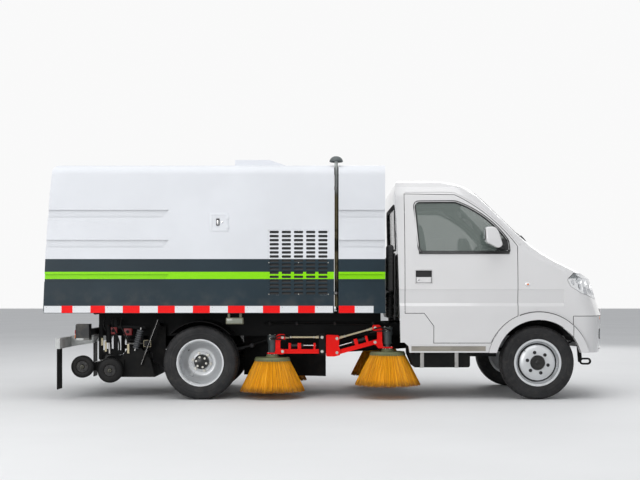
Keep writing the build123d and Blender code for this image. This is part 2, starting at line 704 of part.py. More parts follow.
def hopper():
    """Tipping hopper with its rear door, roof vent hood and the louvred engine bay in front of the bulkhead."""
    with BuildPart() as outer:
        with BuildSketch(side_plane(BODY_HALF)) as outline:
            body_profile()
        extrude(outline.sketch, amount=2 * BODY_HALF)
        body_section(BODY_REAR - 20, HOPPER_FRONT + 20, BODY_HALF, BODY_LOW - 10, BODY_TOP, ROOF_ROUND,
                     mode=Mode.INTERSECT)
    with BuildPart() as inner:
        with BuildSketch(side_plane(BODY_HALF - WALL)) as outline:
            body_profile(WALL)
        extrude(outline.sketch, amount=2 * (BODY_HALF - WALL))
        body_section(BODY_REAR - 20, HOPPER_FRONT + 20, BODY_HALF - WALL, BODY_LOW - 10, BODY_TOP - WALL,
                     ROOF_ROUND - WALL, mode=Mode.INTERSECT)

    with BuildPart() as door:
        add(rear_band(0, GATE_THICK, GATE_HALF, GATE_LOW, GATE_TOP))
        # Hollow pressing: a frame around a thinner skin
        add(rear_band(14, GATE_THICK + 5, GATE_HALF - 70, GATE_LOW + 70, GATE_TOP - 70), mode=Mode.SUBTRACT)
        for y in HINGE_YS:
            for end in (-1, 1):
                side_disc(*GATE_PIVOT, 15, y + end * 18, y + end * 40, mode=Mode.SUBTRACT)
            side_disc(*GATE_PIVOT, 13, y - 18, y + 18)
            side_disc(*GATE_PIVOT, 5.5, y - 18, y + 18, mode=Mode.SUBTRACT)
    keep(door, "tailgate")

    with BuildPart() as shell:
        add(outer.part)
        add(inner.part, mode=Mode.SUBTRACT)
        rib_channels(BODY_REAR - 20, RIB_END, RIB_TAPER)
        with BuildPart(mode=Mode.PRIVATE) as bulkhead:
            block(BULKHEAD_X, BULKHEAD_X + WALL, -900, 900, BODY_LOW, BODY_TOP)
            add(inner.part, mode=Mode.INTERSECT)
        add(bulkhead.part)
        # Rear door opening, open engine bay floor, louvre windows and suction inlets
        add(rear_band(-20, GATE_THICK + GAP, GATE_HALF + GAP, GATE_LOW - GAP, GATE_TOP + GAP), mode=Mode.SUBTRACT)
        block(BULKHEAD_X + WALL, HOPPER_FRONT - WALL, -BODY_HALF + WALL, BODY_HALF - WALL, BODY_LOW - 5,
              BODY_LOW + WALL + 5, mode=Mode.SUBTRACT)
        block(*LOUVRE_X, -900, 900, *LOUVRE_Z, mode=Mode.SUBTRACT)
        for y in HINGE_YS:
            side_disc(*GATE_PIVOT, 16, y - 19, y + 19, mode=Mode.SUBTRACT)
            for end in (-1, 1):
                side_disc(*GATE_PIVOT, 13, y + end * 20, y + end * 38)
            side_disc(*GATE_PIVOT, 5, y - 38, y + 38)
        for side in (-1, 1):
            with Locations((DUCT_X, side * DUCT_Y, BODY_LOW + WALL / 2)):
                Cylinder(DUCT_R + 4, WALL + 10, mode=Mode.SUBTRACT)
        # Side lips, underframe bearers and the tipping hinge ears
        for side in (-1, 1):
            block(BODY_REAR + 4, HOPPER_FRONT, side * (BODY_HALF - 14), side * BODY_HALF, LIP_LOW, BODY_LOW)
            block(-2085, HOPPER_FRONT, side * 346, side * 390, SUBFRAME_TOP, BODY_LOW)
            for y in (RAIL_Y - RAIL_W / 2 - 19, RAIL_Y + RAIL_W / 2 + GAP):
                side_disc(*TIP_PIVOT, 18, side * y, side * (y + 14))
                block(TIP_PIVOT[0] - 18, TIP_PIVOT[0] + 18, side * y, side * (y + 14), SUBFRAME_TOP, BODY_LOW + 2)
            side_disc(*TIP_PIVOT, 8.6, side * (RAIL_Y - RAIL_W / 2 - 19), side * (RAIL_Y + RAIL_W / 2 + 19))
        # Fork and pin of the tipping ram, under the floor
        for y in (-36, 24):
            side_prism([(-1332, BODY_LOW + 2), (-1322, 704), (-1278, 704), (-1268, BODY_LOW + 2)], y, y + 12)
    keep(shell, "hopper_shell")

    with BuildPart() as louvres:
        for side in (-1, 1):
            block(*LOUVRE_X, side * (BODY_HALF - 16), side * (BODY_HALF - 3), *LOUVRE_Z)
        with Locations(((LOUVRE_X[0] + LOUVRE_X[1]) / 2, 0, (LOUVRE_Z[0] + LOUVRE_Z[1]) / 2)):
            with GridLocations(LOUVRE_PITCH[0], 0, LOUVRE_COUNT[0], 1):
                with Locations([(0, 0, LOUVRE_PITCH[1] * (row - (LOUVRE_COUNT[1] - 1) / 2))
                                for row in range(LOUVRE_COUNT[1])]):
                    Box(78, 1800, 17, mode=Mode.SUBTRACT)
        # Fan outlet hood on the roof
        side_prism([(-875, BODY_TOP), (-875, 2124), (-558, 2124), (-230, BODY_TOP)], -260, 260)
        side_prism([(-863, BODY_TOP - 5), (-863, 2112), (-562, 2112), (-290, BODY_TOP - 5)], -248, 248,
                   mode=Mode.SUBTRACT)
        block(-885, -855, -200, 200, 2035, 2102, mode=Mode.SUBTRACT)
    keep(louvres, "vent_panels")

    with BuildPart() as stack:
        rod((36, -785, 800), (36, -785, 2045), 15)
        with Locations((36, -785, 2064)):
            Cylinder(58, 50)
        block(HOPPER_FRONT, 30, -790, -780, 900, 930)
        block(HOPPER_FRONT, 30, -790, -780, 1800, 1830)
    keep(stack, "exhaust_stack")


def water_tank():
    """Front module: closed water tank with its feet and filler."""
    with BuildPart() as tank:
        body_section(TANK_REAR, TANK_FRONT, BODY_HALF, BODY_LOW, BODY_TOP, ROOF_ROUND)
        rib_channels(TANK_REAR - 5, TANK_FRONT + 5, 0)
        for side in (-1, 1):
            block(TANK_REAR, TANK_FRONT, side * (BODY_HALF - 14), side * BODY_HALF, LIP_LOW, BODY_LOW)
            block(TANK_REAR + 5, TANK_FRONT - 20, side * 346, side * 390, SUBFRAME_TOP, BODY_LOW)
        with Locations(((TANK_REAR + TANK_FRONT) / 2, 0, BODY_TOP + 20)):
            Cylinder(FILLER_R + 12, 44)
        with Locations(((TANK_REAR + TANK_FRONT) / 2, 0, BODY_TOP + 22)):
            Cylinder(FILLER_R, 44, mode=Mode.SUBTRACT)
    keep(tank, "water_tank")

    with BuildPart() as engine:
        block(-480, -100, -338, 338, SUBFRAME_TOP, SUBFRAME_TOP + 10)
        block(-470, -110, -300, 300, SUBFRAME_TOP + 10, 1130)
    keep(engine, "auxiliary_engine")


def suction_head():
    """Suction nozzle between the axles and the guard, with its ducts, hangers and two wheel pairs."""
    with BuildPart() as nozzle:
        side_prism([(-1871, 175), (-1871, 330), (-1800, 430), (-1680, 430), (-1600, 330), (-1560, 175)], -520, 520)
        side_prism([(-1861, 165), (-1861, 326), (-1794, 420), (-1686, 420), (-1610, 326), (-1574, 165)], -510,
                   510, mode=Mode.SUBTRACT)
        for side in (-1, 1):
            with Locations((DUCT_X, side * DUCT_Y, 580)):
                Cylinder(DUCT_R, 350)
            with Locations((DUCT_X, side * DUCT_Y, 585)):
                Cylinder(DUCT_R - 8, 400, mode=Mode.SUBTRACT)
            # Lift strut with its outrigger off the rail, and the tow arm behind the mouth
            bar((-1528, side * 531, 655), (-1683, side * 531, 300), 20, 24)
            block(-1545, -1515, side * (RAIL_Y + RAIL_W / 2), side * 541, 628, 650)
            side_disc(-1683, 300, 22, side * 520, side * 541)
            side_prism([(-1830, 215), (-1830, 330), (-2179, 300), (-2205, 273), (-2179, 246), (-1938, 215)],
                       side * 520, side * 540)
            for x, z, radius in NOZZLE_WHEELS:
                side_disc(x, z, 10.5, side * 515, side * 545, mode=Mode.SUBTRACT)
    keep(nozzle, "suction_nozzle")

    for (x, z, radius), name in zip(NOZZLE_WHEELS, ("front", "rear")):
        with BuildPart() as pair:
            side_disc(x, z, 10, -640, 640)
            for side in (-1, 1):
                y = side * 600
                turned([(y - 34, 10), (y - 34, radius - 18), (y - 24, radius), (y + 24, radius),
                        (y + 34, radius - 18), (y + 34, 10)], x, z)
        keep(pair, f"nozzle_{name}_wheels")


def link_end(pivot, angle):
    """Where a brush arm's outer pin lies."""
    return pivot[0] + LINK_LENGTH * cos(radians(angle)), pivot[1] + LINK_LENGTH * sin(radians(angle))


def eye_link(start, end, y, eye, stem):
    """A link with a bored round eye at each end."""
    with BuildSketch(side_plane(y + eye)) as eyes:
        with Locations(start, end):
            Circle(eye)
    extrude(eyes.sketch, amount=2 * eye)
    bar((start[0], y, start[1]), (end[0], y, end[1]), stem, stem)
    with BuildSketch(side_plane(y + eye + 2)) as holes:
        with Locations(start, end):
            Circle(PIN_R + 0.5)
    extrude(holes.sketch, amount=2 * eye + 4, mode=Mode.SUBTRACT)


def brush_head(end, out, disc_top, motor, y):
    """The upright post with its foot plate, and the hydraulic motor that stands on the plate."""
    foot = disc_top + 28
    x = end[0] + out * motor["reach"]
    post = (
        (-22, end[1] - 18), (8, end[1] - 26), (28, foot), (74, foot), (62, end[1] + 8), (60, end[1] + 128),
        (38, end[1] + 150), (-12, end[1] + 150), (-22, end[1] + 140), (-22, end[1] + 104), (20, end[1] + 94),
        (20, end[1] + 24), (-22, end[1] + 16),
    )
    outline = [(end[0] + out * dx, z) for dx, z in post]
    for near, far in ((-36, -26), (26, 36)):
        side_prism(outline, y + near, y + far, corner=5)
    block(end[0] + out * 48, end[0] + out * 58, y - 30, y + 30, foot + 2, end[1] + 124)
    for level in (end[1], end[1] + LINK_RISE):
        side_disc(end[0], level, PIN_R, y - 36, y + 36)
    block(end[0] + out * 30, x + out * 44, y - 36, y + 36, foot, foot + 12)
    rod((x, y, disc_top - 26), (x, y, foot + 1), 12)
    rod((x, y, foot), (x, y, motor["low"] + 1), 26)
    middle = motor["low"] + (motor["top"] - motor["low"]) * 0.55
    rod((x, y, motor["low"]), (x, y, middle), 36)
    rod((x, y, middle), (x, y, motor["top"]), motor["cap"])
    # Hose ports on the motor's outer side
    for dx in (-16, 16):
        with BuildSketch(Plane(origin=(x + dx, y, motor["top"] - 28), z_dir=(0, y, 0))) as port:
            Circle(9)
        extrude(port.sketch, amount=motor["cap"] + 14)


def bristles(x, y, disc_top, tips):
    """Hub, disc and the flared cone of bristles, turned about the motor's shaft."""
    with BuildSketch(Plane(origin=(x, y, 0), x_dir=(1, 0, 0), z_dir=(0, -1, 0))) as section:
        with BuildLine():
            Polyline(
                (12.6, disc_top + 22), (50, disc_top + 22), (58, disc_top), (DISC_R, disc_top - 2),
                (DISC_R, disc_top - 30), (BRISTLE_R, tips), (BRISTLE_R - 70, tips), (86, disc_top - 36),
                (12.6, disc_top - 36), close=True,
            )
        make_face()
    revolve(section.sketch, axis=Axis((x, y, 0), (0, 0, 1)))


def brush(name, pivot, angle, disc_top, motor, tips, side):
    """One side brush: two parallel links, a level head with its motor, and the brush itself."""
    y = side * BRUSH_Y
    out = 1 if angle < 90 else -1
    end = link_end(pivot, angle)
    with BuildPart() as arm:
        eye_link(pivot, end, y, 20, 38)
    keep(arm, f"{name}_arm")
    with BuildPart() as rod_piece:
        eye_link((pivot[0], pivot[1] + LINK_RISE), (end[0], end[1] + LINK_RISE), y, 14, 18)
    keep(rod_piece, f"{name}_rod")
    with BuildPart() as head:
        brush_head(end, out, disc_top, motor, y)
    keep(head, f"{name}_head")
    with BuildPart() as brush_piece:
        bristles(end[0] + out * motor["reach"], y, disc_top, tips)
    keep(brush_piece, f"{name}_brush")


def interior():
    """Seats, dashboard and steering wheel."""
    with BuildPart() as seats:
        for y in (-360, 360):
            block(770, 1240, y - 225, y + 225, FLOOR_Z, 860)
            side_prism([(760, 860), (1290, 860), (1300, 990), (770, 960)], y - 240, y + 240, corner=30)
            side_prism([(760, 950), (880, 970), (790, 1520), (690, 1510)], y - 225, y + 225, corner=25)
            side_prism([(700, 1510), (770, 1512), (750, 1680), (685, 1675)], y - 120, y + 120, corner=20)
    keep(seats, "seats")
    with BuildPart() as dash:
        side_prism([(1500, 1060), (1480, 1180), (1540, 1265), (1739, 1264), (1739, 900)], -700, 700, corner=20)
        # Column shroud
        rod((1420, WHEEL_Y, 1200.5), (1520, WHEEL_Y, 1141), 34)
        rod((1400, WHEEL_Y, 1212.4), (1500, WHEEL_Y, 1153), 20, mode=Mode.SUBTRACT)
    keep(dash, "dashboard")
    with BuildPart() as wheel:
        tilt = Plane(origin=(1370, WHEEL_Y, 1230), x_dir=(0, 1, 0), z_dir=(-0.86, 0, 0.51))
        with BuildSketch(tilt) as ring:
            Circle(185)
            Circle(158, mode=Mode.SUBTRACT)
            Rectangle(340, 34)
            Circle(48)
        extrude(ring.sketch, amount=22)
        rod((1350, WHEEL_Y, 1242), (1470, WHEEL_Y, 1170.8), 18)
    keep(wheel, "steering_wheel")


def fixtures():
    """Mirrors on the doors."""
    for side, name in ((-1, "right"), (1, "left")):
        with BuildPart() as mirror:
            with BuildSketch(cross_plane(1330)) as housing:
                with Locations((side * 880, 1390)):
                    RectangleRounded(150, 190, 40)
            extrude(housing.sketch, amount=95)
            # Arm from the skin below the window corner
            side_prism([(1415, 1212), (1415, 1300), (1380, 1345), (1420, 1345), (1455, 1300), (1455, 1212)],
                       side * 797, side * 830, corner=8)
        keep(mirror, f"mirror_{name}")


BRUSHES = (
    # name, inner pin, link angle at rest, disc top, motor (reach from the outer pin, heights, cap radius), tips
    ("front", FRONT_PIVOT, FRONT_LINK_ANGLE, 406, dict(reach=111, low=476, top=618, cap=45), 110),
    ("rear", REAR_PIVOT, REAR_LINK_ANGLE, 356, dict(reach=90, low=402, top=548, cap=40), 58),
)

cab()
interior()
fixtures()
frame()
axles()
wheels()
underbody()
rear_guard()
hopper()
water_tank()
tipping_cylinder()
suction_head()
for side, hand in ((-1, "right"), (1, "left")):
    for place, pivot, angle, disc_top, motor, tips in BRUSHES:
        brush(f"{place}_{hand}", pivot, angle, disc_top, motor, tips, side)

for name, part in parts.items():
    export_step(part, f"parts/{name}.step")
    print(name, part.is_valid, len(part.solids()), round(part.volume / 1e6, 2))
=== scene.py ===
"""Looks of a small street sweeper truck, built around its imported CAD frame.

Everything is in metres in the frame's own axes: X forward, Y to the vehicle's left, Z up, ground at zero.
"""
import math
import random

import bmesh
import bpy
from mathutils import Matrix, Vector
from mathutils.bvhtree import BVHTree


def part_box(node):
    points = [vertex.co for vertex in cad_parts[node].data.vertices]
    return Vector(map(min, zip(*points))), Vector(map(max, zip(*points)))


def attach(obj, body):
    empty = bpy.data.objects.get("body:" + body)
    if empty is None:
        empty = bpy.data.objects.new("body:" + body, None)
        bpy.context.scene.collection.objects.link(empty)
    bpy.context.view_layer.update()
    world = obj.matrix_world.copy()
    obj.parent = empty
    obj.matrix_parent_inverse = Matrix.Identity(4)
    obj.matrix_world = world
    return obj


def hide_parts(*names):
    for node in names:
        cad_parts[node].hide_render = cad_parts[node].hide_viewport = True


bl_info = {
    "name": "Street Sweeper Truck Looks",
    "version": (1, 0, 0),
    "blender": (4, 5, 0),
    "location": "View3D > Sidebar > Sweeper",
    "description": "Paint, glass, tyres, brushes and trim for a small street sweeper truck",
    "category": "Object",
}

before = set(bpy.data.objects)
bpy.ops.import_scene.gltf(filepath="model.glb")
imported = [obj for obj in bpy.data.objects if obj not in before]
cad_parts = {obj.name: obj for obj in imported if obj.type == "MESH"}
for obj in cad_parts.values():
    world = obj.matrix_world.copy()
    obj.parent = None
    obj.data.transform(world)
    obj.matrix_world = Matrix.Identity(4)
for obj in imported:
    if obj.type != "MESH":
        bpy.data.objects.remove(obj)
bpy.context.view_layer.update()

# Places read from the frame
LEFT, RIGHT = 1, -1
HANDS = ((RIGHT, "right"), (LEFT, "left"))
FRONT_AXLE = Vector((1.768, 0.0, 0.317))
REAR_AXLE = Vector((-1.132, 0.0, 0.317))
FRONT_WHEEL_Y = 0.69
TWIN_Y = (0.705, 0.5)
BODY_SIDE = 0.86
TAPE_LOW, TAPE_HIGH = 0.748, 0.806

surfaces = {}


def surface(node):
    """A search tree over a CAD node's faces, made once."""
    if node not in surfaces:
        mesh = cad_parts[node].data
        surfaces[node] = BVHTree.FromPolygons([v.co.copy() for v in mesh.vertices],
                                              [list(p.vertices) for p in mesh.polygons])
    return surfaces[node]


def touch(nodes, start, direction):
    """Where a ray first meets one of some CAD nodes, and the normal there."""
    best = None
    for name in nodes:
        place, normal, _, distance = surface(name).ray_cast(Vector(start), Vector(direction))
        if place is not None and (best is None or distance < best[2]):
            best = (place, normal, distance)
    return best


def linear(red, green, blue):
    """A colour as it looks on a screen, from 0 to 255 a channel, as the linear values shaders take."""
    def channel(value):
        value = value / 255
        return value / 12.92 if value <= 0.04045 else ((value + 0.055) / 1.055) ** 2.4
    return channel(red), channel(green), channel(blue)


def shade(colour, factor):
    """A colour made darker or lighter."""
    return tuple(min(1.0, c * factor) for c in colour[:3])


# Material building


materials = {}


class Finish:
    """A node material on Object coordinates, with a Principled shader at its end."""

    def __init__(self, name):
        self.material = materials[name] = bpy.data.materials.new(name)
        self.material.use_nodes = True
        self.tree = self.material.node_tree
        self.shader = self.tree.nodes["Principled BSDF"]
        self.place = self.add("ShaderNodeTexCoord").outputs["Object"]

    def add(self, kind, sockets=None, **settings):
        """A new node, with plain values for its sockets."""
        made = self.tree.nodes.new(kind)
        for key, value in settings.items():
            setattr(made, key, value)
        for key, value in (sockets or {}).items():
            made.inputs[key].default_value = value
        return made

    def link(self, source, target):
        self.tree.links.new(source, target)

    def feed(self, value, target):
        """Puts a colour, a number or another node's output into a socket."""
        if isinstance(value, tuple):
            target.default_value = (*value[:3], 1.0)
        elif isinstance(value, float):
            target.default_value = value
        else:
            self.link(value, target)

    def noise(self, scale, detail=3.0, stretch=None):
        """Cloudy variation, from 0 to 1."""
        texture = self.add("ShaderNodeTexNoise", {"Scale": scale, "Detail": detail, "Roughness": 0.55})
        source = self.place
        if stretch:
            mapping = self.add("ShaderNodeMapping", {"Scale": stretch})
            self.link(self.place, mapping.inputs["Vector"])
            source = mapping.outputs["Vector"]
        self.link(source, texture.inputs["Vector"])
        return texture.outputs["Fac"]

    def span(self, value, low, high, out_low=0.0, out_high=1.0):
        """Maps a value from one range to another, clamped."""
        ranges = {"From Min": low, "From Max": high, "To Min": out_low, "To Max": out_high}
        ramp = self.add("ShaderNodeMapRange", ranges, interpolation_type="SMOOTHSTEP")
        self.link(value, ramp.inputs["Value"])
        return ramp.outputs["Result"]

    def axis(self, name):
        """One coordinate of the surface point: X, Y or Z."""
        parts = self.add("ShaderNodeSeparateXYZ")
        self.link(self.place, parts.inputs["Vector"])
        return parts.outputs[name]

    def times(self, first, second):
        node = self.add("ShaderNodeMath", operation="MULTIPLY")
        self.link(first, node.inputs[0])
        self.feed(second, node.inputs[1])
        return node.outputs[0]

    def blend(self, factor, first, second):
        """Mixes two colours, each an RGB tuple or a socket."""
        mix = self.add("ShaderNodeMix", data_type="RGBA")
        for index, value in ((0, factor), (6, first), (7, second)):
            self.feed(value, mix.inputs[index])
        return mix.outputs[2]

    def colour(self, value):
        self.feed(value, self.shader.inputs["Base Color"])

    def roughness(self, low, high, scale=6.0):
        """Uneven gloss between two roughness values."""
        self.link(self.span(self.noise(scale), 0.3, 0.7, low, high), self.shader.inputs["Roughness"])

    def bump(self, height, distance, strength=1.0):
        node = self.add("ShaderNodeBump", {"Distance": distance, "Strength": strength})
        self.link(height, node.inputs["Height"])
        self.link(node.outputs["Normal"], self.shader.inputs["Normal"])

    def set(self, **values):
        """Sets plain shader sockets by their name, with spaces for underscores."""
        for key, value in values.items():
            self.shader.inputs[key.replace("_", " ")].default_value = value


def paint(name, colour, gloss=(0.16, 0.26), coat=0.2, metallic=0.0, mottle=0.04, grime=0.0, grime_top=0.7, shine=0.5):
    """Sprayed paint: a slightly wavy skin, slight colour drift, and road film low down where asked."""
    made = Finish(name)
    drift = made.blend(made.span(made.noise(2.2), 0.35, 0.65), shade(colour, 1 - mottle), shade(colour, 1 + mottle))
    if grime:
        low = made.span(made.axis("Z"), 0.05, grime_top, 1.0, 0.0)
        film = made.times(made.times(low, made.span(made.noise(9.0, 6.0), 0.35, 0.75)), grime)
        drift = made.blend(film, drift, linear(120, 112, 100))
    made.colour(drift)
    made.roughness(*gloss, scale=2.0)
    made.set(Metallic=metallic, Coat_Weight=coat, Coat_Roughness=0.05, Specular_IOR_Level=shine)
    made.bump(made.noise(9.0, 1.0), 0.0015, 0.15)


GRAIN = 650.0


def plastic(name, colour, gloss=(0.45, 0.6), grain=0.0003, grime=0.0, shine=0.5):
    """Moulded plastic or rubber with a fine leather-like grain."""
    made = Finish(name)
    drift = made.blend(made.span(made.noise(7.0, 5.0), 0.3, 0.7), shade(colour, 0.85), shade(colour, 1.2))
    if grime:
        dust = made.times(made.span(made.noise(14.0, 6.0), 0.4, 0.8), grime)
        drift = made.blend(dust, drift, linear(118, 108, 94))
    made.colour(drift)
    made.roughness(*gloss)
    made.set(Specular_IOR_Level=shine)
    cells = made.add("ShaderNodeTexVoronoi", {"Scale": GRAIN})
    made.link(made.place, cells.inputs["Vector"])
    made.bump(cells.outputs["Distance"], grain, 0.5)


SCRATCHES, STAIN = (1.0, 1.0, 60.0), (0.1, 0.07, 0.05)


def metal(name, colour, gloss, wear):
    """Bare or plated metal with a brushed direction and dull stains."""
    made = Finish(name)
    stains = made.times(made.span(made.noise(18.0, 6.0), 0.5, 0.8), wear)
    made.colour(made.blend(stains, colour, STAIN))
    made.roughness(*gloss, scale=25.0)
    made.set(Metallic=1.0)
    made.bump(made.noise(40.0, 2.0, stretch=SCRATCHES), 0.0002, 0.3)


LENS_RIBS = 120.0


def lamp(name, colour):
    """A moulded lamp lens with fine flutes."""
    made = Finish(name)
    made.colour(colour)
    made.set(Roughness=0.08, Coat_Weight=0.8, Coat_Roughness=0.03, IOR=1.5)
    waves = made.add("ShaderNodeTexWave", {"Scale": LENS_RIBS}, bands_direction="Y")
    made.link(made.place, waves.inputs["Vector"])
    made.bump(waves.outputs["Fac"], 0.0006, 0.5)


def glass(name, tint, alpha=0.45):
    """Thin tinted safety glass."""
    made = Finish(name)
    made.colour(tint)
    made.set(Roughness=0.03, IOR=1.5, Alpha=alpha, Specular_IOR_Level=0.8, Coat_Weight=0.6, Coat_Roughness=0.02)
    made.material.surface_render_method = "DITHERED"


# Mesh building


WELD = 2e-5


def facing(spot, direction):
    """Moves to a spot and turns the Z axis to a direction."""
    return Matrix.Translation(spot) @ direction.to_track_quat("Z", "Y").to_matrix().to_4x4()


def once(items):
    """Each item a single time, in the order met."""
    return list(dict.fromkeys(items))


def fill(faces, slot):
    """Puts faces in a material slot."""
    for face in faces:
        face.material_index = slot


def meshed(name, bm):
    """Turns a bmesh into a mesh, and frees it."""
    mesh = bpy.data.meshes.new(name)
    bm.to_mesh(mesh)
    bm.free()
    return mesh


def linked(name, data):
    """A new object in the scene."""
    made = bpy.data.objects.new(name, data)
    bpy.context.scene.collection.objects.link(made)
    return made


def copied(node):
    """A bmesh of a CAD node with its seams closed."""
    bm = bmesh.new()
    bm.from_mesh(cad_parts[node].data)
    bmesh.ops.remove_doubles(bm, verts=bm.verts[:], dist=WELD)
    return bm


def join(bm, part, matrix):
    """Adds a part to a bmesh at a place, and frees the part."""
    bmesh.ops.transform(part, matrix=matrix, verts=part.verts[:])
    mesh = meshed("part", part)
    bm.from_mesh(mesh)
    bpy.data.meshes.remove(mesh)


def smooth(bm, degrees=32):
    """Smooth shading with sharp edges kept above an angle."""
    limit = math.radians(degrees)
    for face in bm.faces:
        face.smooth = True
    for edge in bm.edges:
        edge.smooth = not (len(edge.link_faces) == 2 and edge.calc_face_angle(0.0) > limit)


def piece(name, bm, material, body, replaces=(), sharp=32, outward=False):
    """Turns a bmesh into a finished object that rides on a body."""
    if outward:
        bmesh.ops.recalc_face_normals(bm, faces=bm.faces[:])
    smooth(bm, sharp)
    made = linked(name, meshed(name, bm))
    for entry in ([material] if isinstance(material, str) else material):
        made.data.materials.append(materials[entry])
    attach(made, body)
    if replaces:
        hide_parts(*replaces)
    return made


def faces_of(verts):
    return once(face for vert in verts for face in vert.link_faces)


def edges_of(verts):
    return once(edge for vert in verts for edge in vert.link_edges)


def slab(bm, low, high, bevel=0.0, segments=2, matrix=None, slot=0):
    """A block between two opposite corners with rounded edges."""
    low, high = Vector(map(min, low, high)), Vector(map(max, low, high))
    size = high - low
    place = Matrix.Translation((low + high) / 2) @ Matrix.Diagonal((*size, 1.0))
    verts = bmesh.ops.create_cube(bm, size=1.0, matrix=place)["verts"]
    if bevel:
        made = bmesh.ops.bevel(bm, geom=edges_of(verts), offset=bevel, segments=segments, profile=0.5,
                               affect="EDGES", material=-1)
        verts = once([v for f in made["faces"] for v in f.verts] + [v for v in made["verts"] or verts if v.is_valid])
    fill(faces_of(verts), slot)
    if matrix:
        bmesh.ops.transform(bm, matrix=matrix, verts=verts)


def spun(bm, profile, centre, axis="Y", steps=48, slot=0):
    """Spins a profile of (along, radius) points about an axle. One that starts off the axle is closed."""
    side, up = Vector((0, 1, 0)), Vector((0, 0, 1))
    along, out = (side, up) if axis == "Y" else (up, Vector((1, 0, 0)))
    if profile[0][1]:
        profile = [*profile, profile[0]]
    verts = [bm.verts.new(Vector(centre) + along * a + out * r) for a, r in profile]
    edges = [bm.edges.new((verts[i], verts[i + 1])) for i in range(len(verts) - 1)]
    before = set(bm.faces)
    bmesh.ops.spin(bm, geom=verts + edges, cent=centre, axis=along, angle=math.tau, steps=steps, use_merge=True)
    verts = once(v for f in bm.faces if f not in before for v in f.verts)
    bmesh.ops.remove_doubles(bm, verts=verts, dist=1e-6)
    made = [f for f in bm.faces if f not in before]
    bmesh.ops.recalc_face_normals(bm, faces=made)
    fill(made, slot)
    return made


def drum(bm, start, end, radius, segments=24, bevel=0.0, slot=0, end_radius=None):
    """A round bar from one point to another."""
    start, end = Vector(start), Vector(end)
    line = end - start
    verts = bmesh.ops.create_cone(bm, cap_ends=True, segments=segments, radius1=radius,
                                  radius2=radius if end_radius is None else end_radius, depth=line.length,
                                  matrix=facing((start + end) / 2, line))["verts"]
    if bevel:
        rims = [e for e in edges_of(verts) if any(len(f.verts) > 4 for f in e.link_faces)]
        made = bmesh.ops.bevel(bm, geom=rims, offset=bevel, segments=2, profile=0.5, affect="EDGES", material=-1)
        verts = once(v for f in made["faces"] for v in f.verts)
    fill(faces_of(verts), slot)


def circle(radius, count, start=0.0):
    """Evenly turned places on a circle about the origin."""
    for k in range(count):
        turn = start + math.tau * k / count
        yield radius * math.cos(turn), radius * math.sin(turn)


def hex_bolt(bm, place, direction, size=0.01, height=0.007, slot=0):
    """A hexagon bolt head with its washer."""
    place, direction = Vector(place), Vector(direction).normalized()
    drum(bm, place, place + direction * height * 0.25, size * 1.3, segments=16, slot=slot)
    drum(bm, place + direction * height * 0.2, place + direction * height, size, segments=6, slot=slot)


def plate(bm, outline, thickness, slot=0):
    """A flat sheet: a closed outline of 3-D points, pushed along a thickness vector."""
    verts = [bm.verts.new(Vector(p)) for p in outline]
    face = bm.faces.new(verts)
    made = bmesh.ops.extrude_face_region(bm, geom=[face])
    moved = [v for v in made["geom"] if isinstance(v, bmesh.types.BMVert)]
    bmesh.ops.translate(bm, vec=Vector(thickness), verts=moved)
    faces = faces_of(verts + moved)
    bmesh.ops.recalc_face_normals(bm, faces=faces)
    fill(faces, slot)
    return verts + moved


def rounded(points, radius, steps=5):
    """A closed 2-D outline with its corners rounded."""
    out = []
    count = len(points)
    for i in range(count):
        before, here, after = (Vector(points[(i + k) % count]) for k in (-1, 0, 1))
        to_before, to_after = (before - here), (after - here)
        cut = min(radius, to_before.length * 0.45, to_after.length * 0.45)
        start, end = here + to_before.normalized() * cut, here + to_after.normalized() * cut
        for k in range(steps + 1):
            t = k / steps
            out.append(start.lerp(here, t).lerp(here.lerp(end, t), t))
    return out


def rect(x0, y0, x1, y1):
    """The corners of a 2-D rectangle."""
    return (x0, y0), (x1, y0), (x1, y1), (x0, y1)


def row(start, end, steps):
    """Evenly spaced 2-D points from one place to another."""
    (a, b), (c, d) = start, end
    return [(a + (c - a) * i / steps, b + (d - b) * i / steps) for i in range(steps + 1)]


def grown(points, amount):
    """A closed 2-D outline moved outwards, or inwards where the amount is negative."""
    count = len(points)
    area = sum(points[i].x * points[(i + 1) % count].y - points[(i + 1) % count].x * points[i].y
               for i in range(count))
    turn = 1 if area > 0 else -1
    out = []
    for i in range(count):
        before, after = points[i - 1], points[(i + 1) % count]
        tangent = (after - before).normalized()
        out.append(points[i] + Vector((tangent.y, -tangent.x)) * amount * turn)
    return out


BAND_SINK, LINE_SINK = 0.003, 0.002


def banded(bm, outline, inner, outer, lift, place, slot=0):
    """A raised band that follows an outline on a curved skin.

    place(u, v) gives the skin's point and outward normal at a 2-D outline point.
    """
    rings = []
    for amount, height in ((inner, -BAND_SINK), (inner, lift), (outer, lift), (outer, -BAND_SINK)):
        ring = []
        for point in grown(outline, amount):
            spot, normal = place(point.x, point.y)
            ring.append(bm.verts.new(spot + normal * height))
        rings.append(ring)
    count = len(outline)
    faces = []
    for k in range(3):
        for i in range(count):
            j = (i + 1) % count
            faces.append(bm.faces.new((rings[k][i], rings[k][j], rings[k + 1][j], rings[k + 1][i])))
    fill(faces, slot)


# Settings a user would change


def tone(name, description, red, green, blue):
    """A colour setting, given as it looks on a screen."""
    return bpy.props.FloatVectorProperty(name=name, description=description, subtype="COLOR", size=3, min=0, max=1,
                                         default=linear(red, green, blue))


def size(name, description, value):
    """A length setting in metres."""
    return bpy.props.FloatProperty(name=name, description=description, unit="LENGTH", default=value)


